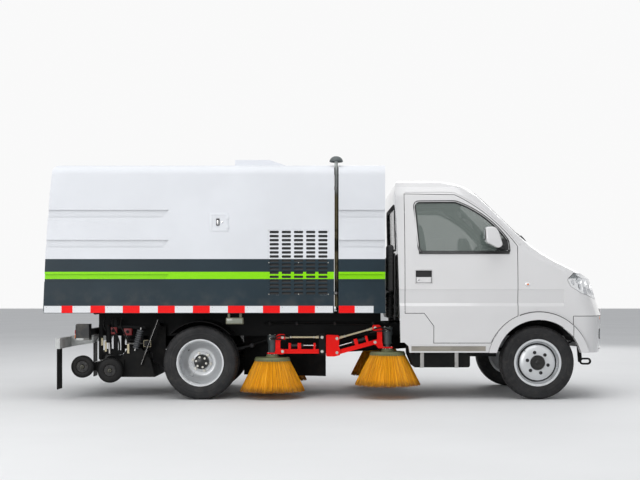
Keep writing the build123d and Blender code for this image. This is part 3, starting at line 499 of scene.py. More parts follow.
class SWEEPER_PG_colours(bpy.types.PropertyGroup):
    """Colours of the truck's finishes, as linear values."""

    cab: tone("Cab", "Silver white of the cab", 222, 221, 221)
    box: tone("Body, upper", "White of the body's upper half", 226, 228, 232)
    slate: tone("Body, lower", "Slate grey of the body's lower half", 36, 50, 58)
    stripe: tone("Stripe", "Lime green stripe", 140, 226, 8)
    arms: tone("Brush arms", "Red enamel", 252, 14, 6)
    bristles: tone("Bristles", "Orange brush fibre", 255, 172, 8)


class SWEEPER_PG_sizes(bpy.types.PropertyGroup):
    """Sizes of painted bands and fine detail."""

    paint_break: size("Paint break", "Height where white meets slate", 1.205)
    stripe_low: size("Stripe bottom", "Lower edge of the green stripe", 1.035)
    stripe_high: size("Stripe top", "Upper edge of the green stripe", 1.096)
    tread_depth: size("Tread depth", "Depth of the tyre grooves", 0.008)
    strands: bpy.props.IntProperty(name="Strands", description="Bristle strands on each brush", default=1100, min=100)


def colours():
    return bpy.context.scene.sweeper_colours


def sizes():
    return bpy.context.scene.sweeper_sizes


# Finishes


def two_tone(name):
    """Body paint: white above, slate below, with the lime stripe between."""
    tones, marks = colours(), sizes()
    made = Finish(name)
    height = made.axis("Z")
    cloud = made.span(made.noise(1.6), 0.35, 0.65)
    white = made.blend(cloud, shade(tones.box, 0.97), shade(tones.box, 1.02))
    slate = made.blend(cloud, shade(tones.slate, 0.92), shade(tones.slate, 1.1))
    body = made.blend(made.span(height, marks.paint_break - 0.0005, marks.paint_break + 0.0005), slate, white)
    low = made.span(height, marks.stripe_low - 0.0005, marks.stripe_low + 0.0005)
    high = made.span(height, marks.stripe_high - 0.0005, marks.stripe_high + 0.0005, 1.0, 0.0)
    band = made.times(low, high)
    body = made.blend(band, body, tuple(tones.stripe))
    film = made.times(made.times(made.span(height, 0.75, 1.0, 1.0, 0.0), made.span(made.noise(8.0, 6.0), 0.4, 0.8)),
                      0.22)
    made.colour(made.blend(film, body, linear(128, 120, 108)))
    made.roughness(0.34, 0.42, 1.5)
    made.set(Coat_Weight=0.03, Coat_Roughness=0.25, Specular_IOR_Level=0.18)
    made.bump(made.noise(6.0, 1.0), 0.0035, 0.12)


def make_finishes():
    """Every finish on the truck."""
    tones = colours()
    two_tone("box_paint")
    paint("cab_paint", tuple(tones.cab), gloss=(0.13, 0.19), coat=0.8, mottle=0.01, grime=0.06)
    paint("white_paint", tuple(tones.box))
    paint("arm_red", tuple(tones.arms), gloss=(0.32, 0.45), coat=0.0, grime=0.05, shine=0.2)
    paint("cream_paint", linear(214, 202, 168), gloss=(0.35, 0.5), coat=0.0, grime=0.2, shine=0.4)
    paint("chassis_black", linear(11, 12, 13), gloss=(0.5, 0.65), coat=0.0, grime=0.06, shine=0.15)
    paint("motor_grey", linear(66, 74, 76), gloss=(0.35, 0.5), coat=0.0, grime=0.15, shine=0.4)
    paint("dark_red", linear(122, 24, 26), gloss=(0.35, 0.5), coat=0.0, grime=0.2, shine=0.4)
    paint("hub_black", linear(14, 14, 15), gloss=(0.25, 0.35), coat=0.1, grime=0.1, shine=0.4)
    paint("wheel_silver", linear(212, 214, 216), gloss=(0.25, 0.38), coat=0.2, metallic=0.45, grime=0.2, grime_top=0.6)
    plastic("trim_black", linear(24, 24, 26), gloss=(0.4, 0.55))
    plastic("seal_rubber", linear(16, 16, 17), gloss=(0.5, 0.65), grain=0.0001)
    plastic("grey_trim", linear(92, 94, 97), gloss=(0.45, 0.6))
    plastic("sill_grey", linear(150, 145, 135), gloss=(0.5, 0.65), grime=0.3)
    plastic("cabin_grey", linear(70, 71, 75), gloss=(0.55, 0.7), grain=0.0005)
    plastic("hose_rubber", linear(12, 12, 13), gloss=(0.45, 0.6), grain=0.0001, grime=0.04, shine=0.25)
    plastic("guard_plastic", linear(10, 10, 11), gloss=(0.6, 0.75), grime=0.04, shine=0.15)
    plastic("disc_green", linear(112, 118, 84), gloss=(0.55, 0.7), grime=0.2)
    metal("bright_steel", (0.78, 0.78, 0.79), gloss=(0.08, 0.16), wear=0.05)
    metal("plain_steel", (0.45, 0.44, 0.43), gloss=(0.35, 0.5), wear=0.5)
    metal("bolt_zinc", (0.55, 0.54, 0.5), gloss=(0.3, 0.45), wear=0.4)
    metal("dark_casting", (0.05, 0.05, 0.053), gloss=(0.55, 0.7), wear=0.5)
    plastic("stack_cap", linear(74, 82, 84), gloss=(0.4, 0.55), grime=0.25)
    metal("chrome", (0.85, 0.85, 0.86), gloss=(0.04, 0.08), wear=0.02)
    metal("mirror_glass", (0.9, 0.92, 0.93), gloss=(0.02, 0.03), wear=0.0)
    lamp("lens_clear", linear(214, 218, 220))
    plastic("olive_grey", linear(104, 102, 84), gloss=(0.5, 0.65), grime=0.3)
    lamp("lens_dull", linear(128, 132, 118))
    lamp("lens_red", linear(176, 16, 14))
    lamp("lens_amber", linear(236, 120, 14))
    glass("window_glass", linear(120, 132, 126), alpha=0.45)
    glass("lamp_cover", linear(225, 230, 232), alpha=0.25)
    guard_finish()
    stack_finish()
    paint("lining_grey", linear(96, 100, 102), gloss=(0.45, 0.65), coat=0.0, mottle=0.12, grime=0.4, grime_top=2.0)
    tape_finish("tape_red", linear(250, 12, 14))
    tape_finish("tape_white", linear(232, 234, 236))
    tyre_finish()
    for name, brush, _ in each_brush():
        bristle_finish(f"fibre_{name}", brush.tips, *brush.axis)
    seat_finish()


def tape_finish(name, colour):
    """Retroreflective tape with its honeycomb of sealed cells."""
    made = Finish(name)
    cells = made.add("ShaderNodeTexVoronoi", {"Scale": 260.0}, feature="DISTANCE_TO_EDGE")
    made.link(made.place, cells.inputs["Vector"])
    edge = made.span(cells.outputs["Distance"], 0.0, 0.08)
    made.colour(made.blend(edge, shade(colour, 0.78), colour))
    made.set(Roughness=0.45, Specular_IOR_Level=0.2)
    made.bump(edge, 0.0001, 0.4)


def guard_finish():
    """The rear guard: pale grey bar and arms, with black lamp boxes and crossbar."""
    made = Finish("guard_paint")
    lamps = made.span(made.axis("Z"), 0.5285, 0.5295)
    arms = made.span(made.axis("X"), -2.14, -2.12)
    dark = made.blend(lamps, linear(196, 198, 196), linear(30, 31, 33))
    dirt = made.times(made.span(made.noise(11.0, 6.0), 0.42, 0.78), 0.45)
    made.colour(made.blend(dirt, made.blend(made.times(arms, 0.8), dark, linear(30, 31, 33)), linear(104, 98, 88)))
    made.roughness(0.35, 0.55)
    made.bump(made.noise(300.0, 2.0), 0.0002, 0.4)


def stack_finish():
    """Exhaust pipe: dull zinc at the top, heat-browned and dusty lower down."""
    made = Finish("stack_steel")
    heat = made.span(made.axis("Z"), 1.72, 1.84, 1.0, 0.0)
    patches = made.span(made.noise(14.0, 6.0, stretch=(1.0, 1.0, 0.6)), 0.38, 0.62)
    rust = made.blend(patches, linear(46, 46, 38), linear(132, 122, 92))
    made.colour(made.blend(heat, linear(188, 192, 190), rust))
    made.roughness(0.4, 0.65, 12.0)
    made.set(Metallic=0.35)
    made.bump(made.noise(90.0, 4.0), 0.0006, 0.4)


def tyre_finish():
    """Rubber: dark, with uneven tone and patches of dust."""
    made = Finish("tyre_rubber")
    dust = made.span(made.noise(26.0, 6.0), 0.45, 0.8)
    base = made.blend(made.span(made.noise(5.0), 0.3, 0.7), linear(28, 28, 30), linear(38, 38, 39))
    made.colour(made.blend(made.times(dust, 0.18), base, linear(90, 84, 76)))
    made.roughness(0.6, 0.78, 9.0)
    made.set(Specular_IOR_Level=0.35)
    made.bump(made.noise(300.0, 3.0), 0.0004, 0.4)


def bristle_finish(name, tips, x, y):
    """Poly fibre around an upright axis: single strands, painted shade darkening the roots under the disc, bright
    middle and dirtier tips.
    """
    tone = tuple(colours().bristles)
    made = Finish(name)
    parts = made.add("ShaderNodeSeparateXYZ")
    made.link(made.place, parts.inputs["Vector"])
    sides = []
    for axis, middle in (("Y", y), ("X", x)):
        shift = made.add("ShaderNodeMath", {1: middle}, operation="SUBTRACT")
        made.link(parts.outputs[axis], shift.inputs[0])
        sides.append(shift.outputs[0])
    turn = made.add("ShaderNodeMath", operation="ARCTAN2")
    made.link(sides[0], turn.inputs[0])
    made.link(sides[1], turn.inputs[1])
    streaks = {"Scale": 24.0, "Detail": 3.0, "Roughness": 0.7}
    strand = made.add("ShaderNodeTexNoise", streaks, noise_dimensions="1D")
    made.link(turn.outputs[0], strand.inputs["W"])
    streak = made.span(strand.outputs["Fac"], 0.36, 0.6)
    fresh = made.blend(streak, shade(tone, 0.66), shade(tone, 1.15))
    height = parts.outputs["Z"]
    # Painted shade: the strands darken towards the disc, where its shade falls on them
    disc_shade = made.span(height, tips + 0.22, tips + 0.3, 0.0, 0.5)
    ends = made.times(made.span(height, tips, tips + 0.07, 0.9, 0.0), made.span(made.noise(30.0, 4.0), 0.3, 0.6, 0.4))
    body = made.blend(disc_shade, fresh, linear(104, 58, 10))
    made.colour(made.blend(ends, body, linear(120, 66, 20)))
    made.set(Roughness=0.55, Specular_IOR_Level=0.3, Sheen_Weight=0.1)


def seat_finish():
    """Woven seat cloth: a fine two-way weave with a soft sheen."""
    made = Finish("seat_cloth")
    first, second = (made.add("ShaderNodeTexWave", {"Scale": 240.0}, bands_direction=way) for way in "YZ")
    for wave in (first, second):
        made.link(made.place, wave.inputs["Vector"])
    weave = made.times(first.outputs["Fac"], second.outputs["Fac"])
    base = made.blend(made.span(weave, 0.1, 0.6), linear(52, 54, 60), linear(92, 95, 102))
    made.colour(made.blend(made.span(made.noise(9.0), 0.4, 0.7, 0.0, 0.3), base, linear(64, 65, 70)))
    made.set(Roughness=0.9, Sheen_Weight=0.4, Sheen_Roughness=0.4)
    made.bump(weave, 0.0006, 0.5)


# Finishes for the CAD pieces that stay as they are
KEPT = {
    "frame": "chassis_black", "rear_axle": "chassis_black", "front_axle": "chassis_black",
    "engine_block": "dark_casting", "fuel_tank": "chassis_black", "splash_guards": "guard_plastic",
    "rear_guard": "guard_paint", "front_grille": "trim_black",
    "cab_glass": "window_glass", "dashboard": "cabin_grey",
    "auxiliary_engine": "dark_casting", "suction_nozzle": "chassis_black",
    "tip_cylinder": "chassis_black",
    "tip_rod": "bright_steel",
}
KEPT_PAIRS = {"steering_knuckle": "dark_casting", "door_glass": "window_glass"}


# Sheet-metal nodes shown as smooth copies: body, outer finish, inner finish
PANELS = {
    "cab_shell": ("chassis", "cab_paint", "cabin_grey"), "front_bumper": ("chassis", "cab_paint", "guard_plastic"),
    "bonnet": ("bonnet", "cab_paint", "guard_plastic"), "hopper_shell": ("hopper", "box_paint", "lining_grey"),
    "tailgate": ("tailgate", "box_paint", "lining_grey"), "water_tank": ("chassis", "box_paint", "lining_grey"),
}
WALLED_CAB = ("cab_shell", "door_left", "door_right", "bonnet", "front_bumper", "cab_glass")
WALLED_BODY = ("hopper_shell", "tailgate", "water_tank")


def dress(node, material):
    """Gives a CAD node its finish."""
    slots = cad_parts[node].data.materials
    slots.clear()
    slots.append(materials[material])


def sorted_copy(node, body, finishes, choose, degrees=28):
    """Stands a smoothly shaded copy for a CAD node, with each face in the finish that choose says."""
    bm = copied(node)
    bm.normal_update()
    for face in bm.faces:
        face.material_index = choose(face)
    made = piece(f"{node}_shape", bm, finishes, body, (node,), sharp=degrees)
    weigh = made.modifiers.new("even_shading", "WEIGHTED_NORMAL")
    weigh.keep_sharp = True
    return made


def smooth_copy(node, body, outside, inside, degrees=24):
    """A smooth copy whose faces that look at another wall of the cab or body take the inner finish."""
    if outside == inside:
        return sorted_copy(node, body, (outside,), lambda face: 0, degrees)
    walls = WALLED_BODY if node in WALLED_BODY else WALLED_CAB

    def choose(face):
        return 1 if touch(walls, face.calc_center_median() + face.normal * 0.002, face.normal) else 0
    return sorted_copy(node, body, (outside, inside), choose, degrees)


class SWEEPER_OT_finishes(bpy.types.Operator):
    """Make the finishes and put them on the CAD pieces"""

    bl_idname = "sweeper.finishes"
    bl_label = "Finishes"

    def execute(self, context):
        make_finishes()
        for node, material in KEPT.items():
            dress(node, material)
        for node, materials_of in PANELS.items():
            smooth_copy(node, *materials_of)
        for _, hand in HANDS:
            smooth_copy(f"door_{hand}", f"door_{hand}", "cab_paint", "cabin_grey")
            for stem, material in KEPT_PAIRS.items():
                dress(f"{stem}_{hand}", material)
        return {"FINISHED"}


class SWEEPER_OT_stage(bpy.types.Operator):
    """Set the floor, the soft light and the photograph's camera"""

    bl_idname = "sweeper.stage"
    bl_label = "Stage"

    def execute(self, context):
        scene = context.scene
        bm = bmesh.new()
        bmesh.ops.create_grid(bm, x_segments=1, y_segments=1, size=60.0)
        floor = linked("floor", meshed("floor", bm))
        ground = Finish("studio_floor")
        ground.colour(ground.blend(ground.span(ground.noise(0.6), 0.3, 0.7), (0.78, 0.78, 0.78), (0.81, 0.81, 0.81)))
        ground.set(Roughness=0.75)
        floor.data.materials.append(ground.material)

        world = bpy.data.worlds.new("studio")
        scene.world = world
        world.use_nodes = True
        tree = world.node_tree
        soft = tree.nodes["Background"]
        soft.inputs["Color"].default_value = (0.93, 0.96, 1.0, 1.0)
        soft.inputs["Strength"].default_value = 0.46
        seen = tree.nodes.new("ShaderNodeBackground")
        seen.inputs["Color"].default_value = (1.0, 1.0, 1.0, 1.0)
        seen.inputs["Strength"].default_value = 0.95
        path = tree.nodes.new("ShaderNodeLightPath")
        share = path.outputs["Is Camera Ray"]
        for ray in ("Is Transmission Ray", "Is Glossy Ray"):
            either = tree.nodes.new("ShaderNodeMath")
            either.operation = "MAXIMUM"
            tree.links.new(share, either.inputs[0])
            tree.links.new(path.outputs[ray], either.inputs[1])
            share = either.outputs[0]
        mix = tree.nodes.new("ShaderNodeMixShader")
        tree.links.new(share, mix.inputs[0])
        tree.links.new(soft.outputs[0], mix.inputs[1])
        tree.links.new(seen.outputs[0], mix.inputs[2])
        tree.links.new(mix.outputs[0], tree.nodes["World Output"].inputs["Surface"])

        for name, place, aim, size, power in (
            ("sky_panel", (-1.0, -3.0, 8.5), (0.0, 0.0, 0.8), 9.0, 430.0),
            ("camera_side_panel", (-5.0, -9.0, 3.2), (0.0, 0.0, 0.9), 5.0, 250.0),
            ("far_side_panel", (3.0, 8.0, 5.0), (0.0, 0.0, 1.0), 6.0, 170.0),
        ):
            light = bpy.data.lights.new(name, "AREA")
            light.size = size
            light.energy = power
            holder = linked(name, light)
            holder.location = place
            holder.rotation_euler = (Vector(aim) - Vector(place)).to_track_quat("-Z", "Y").to_euler()

        camera = bpy.data.cameras.new("photo_camera")
        camera.sensor_fit = "HORIZONTAL"
        camera.sensor_width = 36.0
        camera.lens = CAMERA["focal_px"] * 36.0 / PHOTO_WIDTH
        camera.shift_y = CAMERA["horizon_drop_px"] / PHOTO_WIDTH
        holder = linked("photo_camera", camera)
        holder.location = CAMERA["place"]
        holder.rotation_euler = tuple(math.radians(a) for a in CAMERA["turn"])
        scene.camera = holder
        scene.view_settings.view_transform = "Standard"
        return {"FINISHED"}


PHOTO_WIDTH = 640
CAMERA = {"place": (-0.103, -9.8, 0.899), "turn": (90.0, 0.0, 0.0), "focal_px": 1051.4, "horizon_drop_px": 55.0}


# Hopper and tank: tape, louvres, hatches, exhaust, rear door fittings


TAPE_START = 0.0075
TAPE_RUN = ((0.153, "white"), (0.145, "red")) * 6 + (
    (0.15, "white"), (0.125, "red"), (0.152, "white"), (0.094, "red"), (0.149, "white"))
TANK_TAPE = ((0.057, 0.193, "red"), (0.193, 0.352, "white"))
TAPE_SLOT = {"red": 0, "white": 1}


def tape_strip(bm, x0, x1, hand, colour):
    """One strip of tape on a body side, with its small rivet."""
    rise = 0.0015 if colour == "red" else 0.0
    y = hand * BODY_SIDE
    slab(bm, (x0, y, TAPE_LOW - rise), (x1, y + hand * 0.0007, TAPE_HIGH + rise), bevel=0.0002, segments=1,
         slot=TAPE_SLOT[colour])
    if colour == "white":
        x, z = min(x0, x1) + 0.02, TAPE_HIGH - 0.012
        drum(bm, (x, y + hand * 0.0005, z), (x, y + hand * 0.003, z), 0.0035, segments=10, slot=2)


def gate_x(y, z):
    """The rear door's outer surface."""
    return touch(("tailgate",), (-3.0, y, z), (1, 0, 0))[0].x


class SWEEPER_OT_tape(bpy.types.Operator):
    """Lay the red and white reflective tape along both sides and the rear door"""

    bl_idname = "sweeper.tape"
    bl_label = "Reflective tape"

    def execute(self, context):
        finishes = ("tape_red", "tape_white", "plain_steel")
        for hand, side in HANDS:
            bm = bmesh.new()
            x = TAPE_START
            for length, colour in TAPE_RUN:
                tape_strip(bm, x, x - length, hand, colour)
                x -= length
            piece(f"hopper_tape_{side}", bm, finishes, "hopper")
            bm = bmesh.new()
            for x0, x1, colour in TANK_TAPE:
                tape_strip(bm, x0, x1, hand, colour)
            piece(f"tank_tape_{side}", bm, finishes, "chassis")
        bm = bmesh.new()
        low, high, width = 0.8, 0.856, 0.15
        for k in range(10):
            y0 = -5 * width + k * width
            outline = [(gate_x(y * 0.98, z), y, z) for y, z in rect(y0, low, y0 + width, high)]
            plate(bm, outline, (-0.0008, 0, 0), slot=TAPE_SLOT["white" if k % 2 else "red"])
        piece("door_tape", bm, finishes, "tailgate")
        return {"FINISHED"}


LOUVRE_X, LOUVRE_Z = (-0.5445, -0.0265), (0.8975, 1.4515)
LOUVRE_ROWS, LOUVRE_COLUMNS = 16, 5
SLOT_SIZE = (0.078, 0.0165)


class SWEEPER_OT_louvres(bpy.types.Operator):
    """Press the rows of cooling slots into the engine bay panels, with dark floors painted as the shade inside them"""

    bl_idname = "sweeper.louvres"
    bl_label = "Louvre panels"

    def execute(self, context):
        width, height = LOUVRE_X[1] - LOUVRE_X[0], LOUVRE_Z[1] - LOUVRE_Z[0]
        cell = (width / LOUVRE_COLUMNS, height / LOUVRE_ROWS)
        bm = bmesh.new()
        centre = Vector(((LOUVRE_X[0] + LOUVRE_X[1]) / 2, -BODY_SIDE + 0.0008, (LOUVRE_Z[0] + LOUVRE_Z[1]) / 2))
        place = (Matrix.Translation(centre) @ Matrix.Rotation(math.radians(90), 4, "X")
                 @ Matrix.Diagonal((width / 2, height / 2, 1.0, 1.0)))
        bmesh.ops.create_grid(bm, x_segments=LOUVRE_COLUMNS, y_segments=LOUVRE_ROWS, size=1.0, matrix=place)
        slots = bm.faces[:]
        bmesh.ops.inset_individual(bm, faces=slots, thickness=(cell[1] - SLOT_SIZE[1]) / 2, depth=0.0)
        for face in slots:
            middle = face.calc_center_median()
            for vert in face.verts:
                vert.co.x = middle.x + math.copysign(SLOT_SIZE[0] / 2, vert.co.x - middle.x)
        corners = list({v for f in slots for v in f.verts})
        bmesh.ops.bevel(bm, geom=corners, offset=0.0075, segments=4, profile=0.5, affect="VERTICES", material=-1)
        slots = [f for f in bm.faces if len(f.verts) > 12]
        made = bmesh.ops.extrude_discrete_faces(bm, faces=slots)
        # The slots' floors are pushed in and made dark rubber, painted as the shade inside the slots
        shade_floors = made["faces"]
        for face in shade_floors:
            middle = face.calc_center_median().z
            for vert in face.verts:
                vert.co.y += 0.011 if vert.co.z > middle else 0.004
            face.material_index = 1
        rim = [e for e in bm.edges if e.is_boundary]
        out = bmesh.ops.extrude_edge_only(bm, edges=rim)["geom"]
        back = [v for v in out if isinstance(v, bmesh.types.BMVert)]
        bmesh.ops.translate(bm, vec=(0, 0.014, 0), verts=back)
        bmesh.ops.edgeloop_fill(bm, edges=[e for e in bm.edges if e.is_boundary])
        for x in (LOUVRE_X[0] + 0.007, (LOUVRE_X[0] + LOUVRE_X[1]) / 2, LOUVRE_X[1] - 0.007):
            for z in (LOUVRE_Z[0] + 0.008, centre.z, LOUVRE_Z[1] - 0.008):
                drum(bm, (x, -BODY_SIDE + 0.0009, z), (x, -BODY_SIDE - 0.0012, z), 0.004, segments=10, slot=2)
        other = bm.copy()
        # Slot 1, the dark rubber, is painted shade inside the slots
        finishes = ("box_paint", "seal_rubber", "bolt_zinc")
        piece("louvre_panel_right", bm, finishes, "hopper", ("vent_panels",), sharp=30, outward=True)
        bmesh.ops.scale(other, vec=(1, -1, 1), verts=other.verts[:])
        piece("louvre_panel_left", other, finishes, "hopper", ("vent_panels",), sharp=30, outward=True)
        return {"FINISHED"}


HATCH_PLACE = (-0.961, 1.519)


class SWEEPER_OT_hatches(bpy.types.Operator):
    """Fit the square access hatches with their paddle latches, and the side work lamps"""

    bl_idname = "sweeper.hatches"
    bl_label = "Hatches and work lamps"

    def execute(self, context):
        x, z = HATCH_PLACE
        for hand, side in HANDS:
            y = hand * BODY_SIDE
            bm = bmesh.new()
            slab(bm, (x - 0.08, y - hand * 0.002, z - 0.08), (x + 0.08, y + hand * 0.004, z + 0.08), bevel=0.003)
            face = max((f for f in bm.faces if abs(f.normal.y) > 0.9), key=lambda f: f.calc_area() * 10
                       + f.calc_center_median().y * hand)
            bmesh.ops.inset_region(bm, faces=[face], thickness=0.024, depth=0.0)
            bmesh.ops.inset_region(bm, faces=[face], thickness=0.003, depth=-0.003)
            for dz in (-0.04, 0.04):
                slab(bm, (x + 0.066, y, z + dz - 0.014), (x + 0.084, y + hand * 0.009, z + dz + 0.014), bevel=0.003)
            slab(bm, (x - 0.024, y, z - 0.03), (x + 0.004, y + hand * 0.01, z + 0.03), bevel=0.003, slot=1)
            slab(bm, (x - 0.017, y, z - 0.022), (x - 0.003, y + hand * 0.013, z + 0.016), bevel=0.002, slot=2)
            drum(bm, (x + 0.026, y, z), (x + 0.026, y + hand * 0.006, z), 0.009, bevel=0.001, slot=2)
            piece(f"side_hatch_{side}", bm, ("box_paint", "trim_black", "bright_steel"), "hopper")

            bm = bmesh.new()
            slab(bm, (-0.905, hand * 0.795, 0.65), (-0.755, hand * 0.852, 0.706), bevel=0.008, segments=3)
            slab(bm, (-0.897, hand * 0.85 + 0.002, 0.657), (-0.763, hand * 0.856, 0.699), bevel=0.003, slot=1)
            for post in (-0.88, -0.78):
                slab(bm, (post - 0.01, hand * 0.81, 0.7), (post + 0.01, hand * 0.84, 0.7625), bevel=0.001, slot=2)
            piece(f"work_lamp_{side}", bm, ("olive_grey", "lens_dull", "olive_grey"), "hopper", outward=True)
        return {"FINISHED"}


STACK = (0.036, -0.785)


class SWEEPER_OT_exhaust(bpy.types.Operator):
    """Turn the exhaust pipe with its mushroom cap and clamps"""

    bl_idname = "sweeper.exhaust"
    bl_label = "Exhaust stack"

    def execute(self, context):
        x, y = STACK
        bm = bmesh.new()
        pipe = [(0.8, 0.0), (0.8, 0.015), (1.985, 0.015), (1.99, 0.0146), (2.06, 0.0146), (2.06, 0.0)]
        spun(bm, pipe, (x, y, 0), "Z", 28)
        sleeve = [(1.93, 0.0145), (1.93, 0.0175), (1.99, 0.0175), (1.99, 0.0145)]
        spun(bm, sleeve, (x, y, 0), "Z", 28)
        cap = [(2.05, 0.0), (2.05, 0.03), (2.047, 0.04), (2.04, 0.05), (2.039, 0.056), (2.043, 0.058),
               (2.052, 0.057), (2.066, 0.05), (2.078, 0.038), (2.086, 0.022), (2.089, 0.0)]
        spun(bm, cap, (x, y, 0), "Z", 36, slot=1)
        for z in (0.915, 1.815):
            slab(bm, (0.0175, y - 0.007, z - 0.014), (x - 0.01, y + 0.007, z + 0.014), bevel=0.001, slot=2)
            ring = [(z - 0.01, 0.0148), (z - 0.01, 0.0178), (z + 0.01, 0.0178), (z + 0.01, 0.0148)]
            spun(bm, ring, (x, y, 0), "Z", 28, slot=2)
            hex_bolt(bm, (x - 0.012, y - 0.016, z), (0, -1, 0), size=0.005, height=0.006, slot=2)
        piece("exhaust_pipe", bm, ("stack_steel", "stack_cap", "plain_steel"), "hopper", ("exhaust_stack",), sharp=40)
        return {"FINISHED"}


class SWEEPER_OT_rear_door(bpy.types.Operator):
    """Fit the rear door's ribs, clamps, grab handles, blank plate and lamps, and the roof vent's vanes"""

    bl_idname = "sweeper.rear_door"
    bl_label = "Rear door fittings"

    def execute(self, context):
        bm = bmesh.new()
        # Pressed stiffening ribs across the door
        for low, high, half in ((1.62, 1.68, 0.7), (1.33, 1.39, 0.7), (1.03, 1.1, 0.7)):
            steps = 14
            rows = []
            for t, lift in ((0.0, -0.001), (0.22, 0.009), (0.78, 0.009), (1.0, -0.001)):
                z = low + (high - low) * t
                rows.append([bm.verts.new((gate_x(-half + 2 * half * k / steps, z) - lift,
                                           -half + 2 * half * k / steps, z)) for k in range(steps + 1)])
            edges = [[bm.edges.new((row[k], row[k + 1])) for k in range(steps)] for row in rows]
            for first, second in zip(edges, edges[1:]):
                bmesh.ops.bridge_loops(bm, edges=first + second)
            for end in (0, steps):
                bm.faces.new([row[end] for row in rows])
        # Blank number plate on a dark backing, with two small lamps above
        x = gate_x(0, 0.93)
        slab(bm, (x - 0.01, -0.235, 0.868), (x + 0.004, 0.235, 1.012), bevel=0.004, slot=1)
        slab(bm, (x - 0.013, -0.22, 0.88), (x - 0.009, 0.22, 1.0), bevel=0.001, slot=2)
        for y in (-0.12, 0.12):
            slab(bm, (x - 0.03, y - 0.035, 1.008), (x + 0.006, y + 0.035, 1.03), bevel=0.006, segments=3, slot=1)
        # Corner marker lamps high up, toggle clamps low down
        for hand in (LEFT, RIGHT):
            top = gate_x(hand * 0.7, 1.8)
            slab(bm, (top - 0.016, hand * 0.7 - 0.045, 1.785), (top + 0.006, hand * 0.7 + 0.045, 1.815),
                 bevel=0.007, segments=3, slot=3)
            y = hand * 0.62
            base = gate_x(y, 0.845)
            slab(bm, (base - 0.01, y - 0.03, 0.868), (base + 0.004, y + 0.03, 0.99), bevel=0.002, slot=4)
            drum(bm, (base - 0.014, y - 0.026, 0.965), (base - 0.014, y + 0.026, 0.965), 0.009, bevel=0.001, slot=4)
            slab(bm, (base - 0.021, y - 0.012, 0.88), (base - 0.009, y + 0.012, 0.97), bevel=0.003, slot=4)
            # Grab handle
            y = hand * 0.4
            grip = gate_x(y, 1.22)
            for z in (1.16, 1.28):
                drum(bm, (grip + 0.004, y, z), (grip - 0.036, y, z), 0.007, segments=14, slot=1)
            drum(bm, (grip - 0.036, y, 1.152), (grip - 0.036, y, 1.288), 0.009, segments=16, bevel=0.003, slot=1)
        piece("rear_door_fittings", bm, ("box_paint", "trim_black", "white_paint", "lens_red", "plain_steel"),
              "tailgate", sharp=35, outward=True)

        bm = bmesh.new()
        for k in range(5):
            z = 2.042 + 0.0135 * k
            turn = Matrix.Translation((-0.869, 0, z)) @ Matrix.Rotation(math.radians(-32), 4, "Y")
            slab(bm, (-0.009, -0.199, -0.001), (0.009, 0.199, 0.001), bevel=0.0004, segments=1, matrix=turn)
        # A dark rubber sheet behind the vanes, painted as the shade inside the vent
        slab(bm, (-0.853, -0.198, 2.036), (-0.851, 0.198, 2.101), slot=1)
        piece("roof_vent_vanes", bm, ("white_paint", "seal_rubber"), "hopper")

        bm = bmesh.new()
        bm.from_mesh(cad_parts["vent_panels"].data)
        bmesh.ops.delete(bm, geom=[v for v in bm.verts if v.co.z < 1.9], context="VERTS")
        bmesh.ops.remove_doubles(bm, verts=bm.verts[:], dist=WELD)
        piece("roof_vent_hood", bm, "box_paint", "hopper", ("vent_panels",), sharp=28)

        # Tank filler lid with its hinge and catch
        bm = bmesh.new()
        x = 0.2535
        lid = [(2.046, 0.0), (2.046, 0.07), (2.044, 0.075), (2.05, 0.078), (2.058, 0.078), (2.062, 0.074),
               (2.062, 0.052), (2.058, 0.048), (2.058, 0.0)]
        spun(bm, lid, (x, 0, 0), "Z", 40)
        slab(bm, (x - 0.012, 0.068, 2.046), (x + 0.012, 0.102, 2.064), bevel=0.003, slot=1)
        drum(bm, (x - 0.022, 0.094, 2.052), (x + 0.022, 0.094, 2.052), 0.006, segments=14, slot=1)
        slab(bm, (x - 0.01, -0.1, 2.044), (x + 0.01, -0.07, 2.062), bevel=0.003, slot=1)
        piece("filler_lid", bm, ("trim_black", "plain_steel"), "chassis")
        return {"FINISHED"}


# Wheels: treaded tyres, nuts, hub caps and the suction head's own wheels


TYRE_STEPS = 160
BLOCK_EVERY = 4
NUT_TURN = math.radians(47)
NUTS = 6


def tyre_wall(depth):
    """Half of a tyre's section from bead to crown, as (distance from the centre plane, radius)."""
    crown = 0.317
    return [
        (0.058, 0.194), (0.066, 0.1885), (0.0705, 0.192), (0.0705, 0.203), (0.076, 0.208), (0.0805, 0.2095),
        (0.0835, 0.216), (0.0862, 0.232), (0.0872, 0.246), (0.0881, 0.2475), (0.0881, 0.25), (0.0874, 0.2515),
        (0.087, 0.266), (0.0876, 0.2675), (0.0874, 0.2695), (0.086, 0.2705), (0.0838, 0.286), (0.08, 0.2975),
        (0.0745, 0.306), (0.069, 0.3105), (0.06, 0.314), (0.052, 0.3152), (0.0508, 0.3152 - depth),
        (0.044, 0.3155 - depth), (0.0428, 0.316), (0.018, crown), (0.0168, crown - depth), (0.0095, crown - depth),
        (0.0083, crown),
    ]


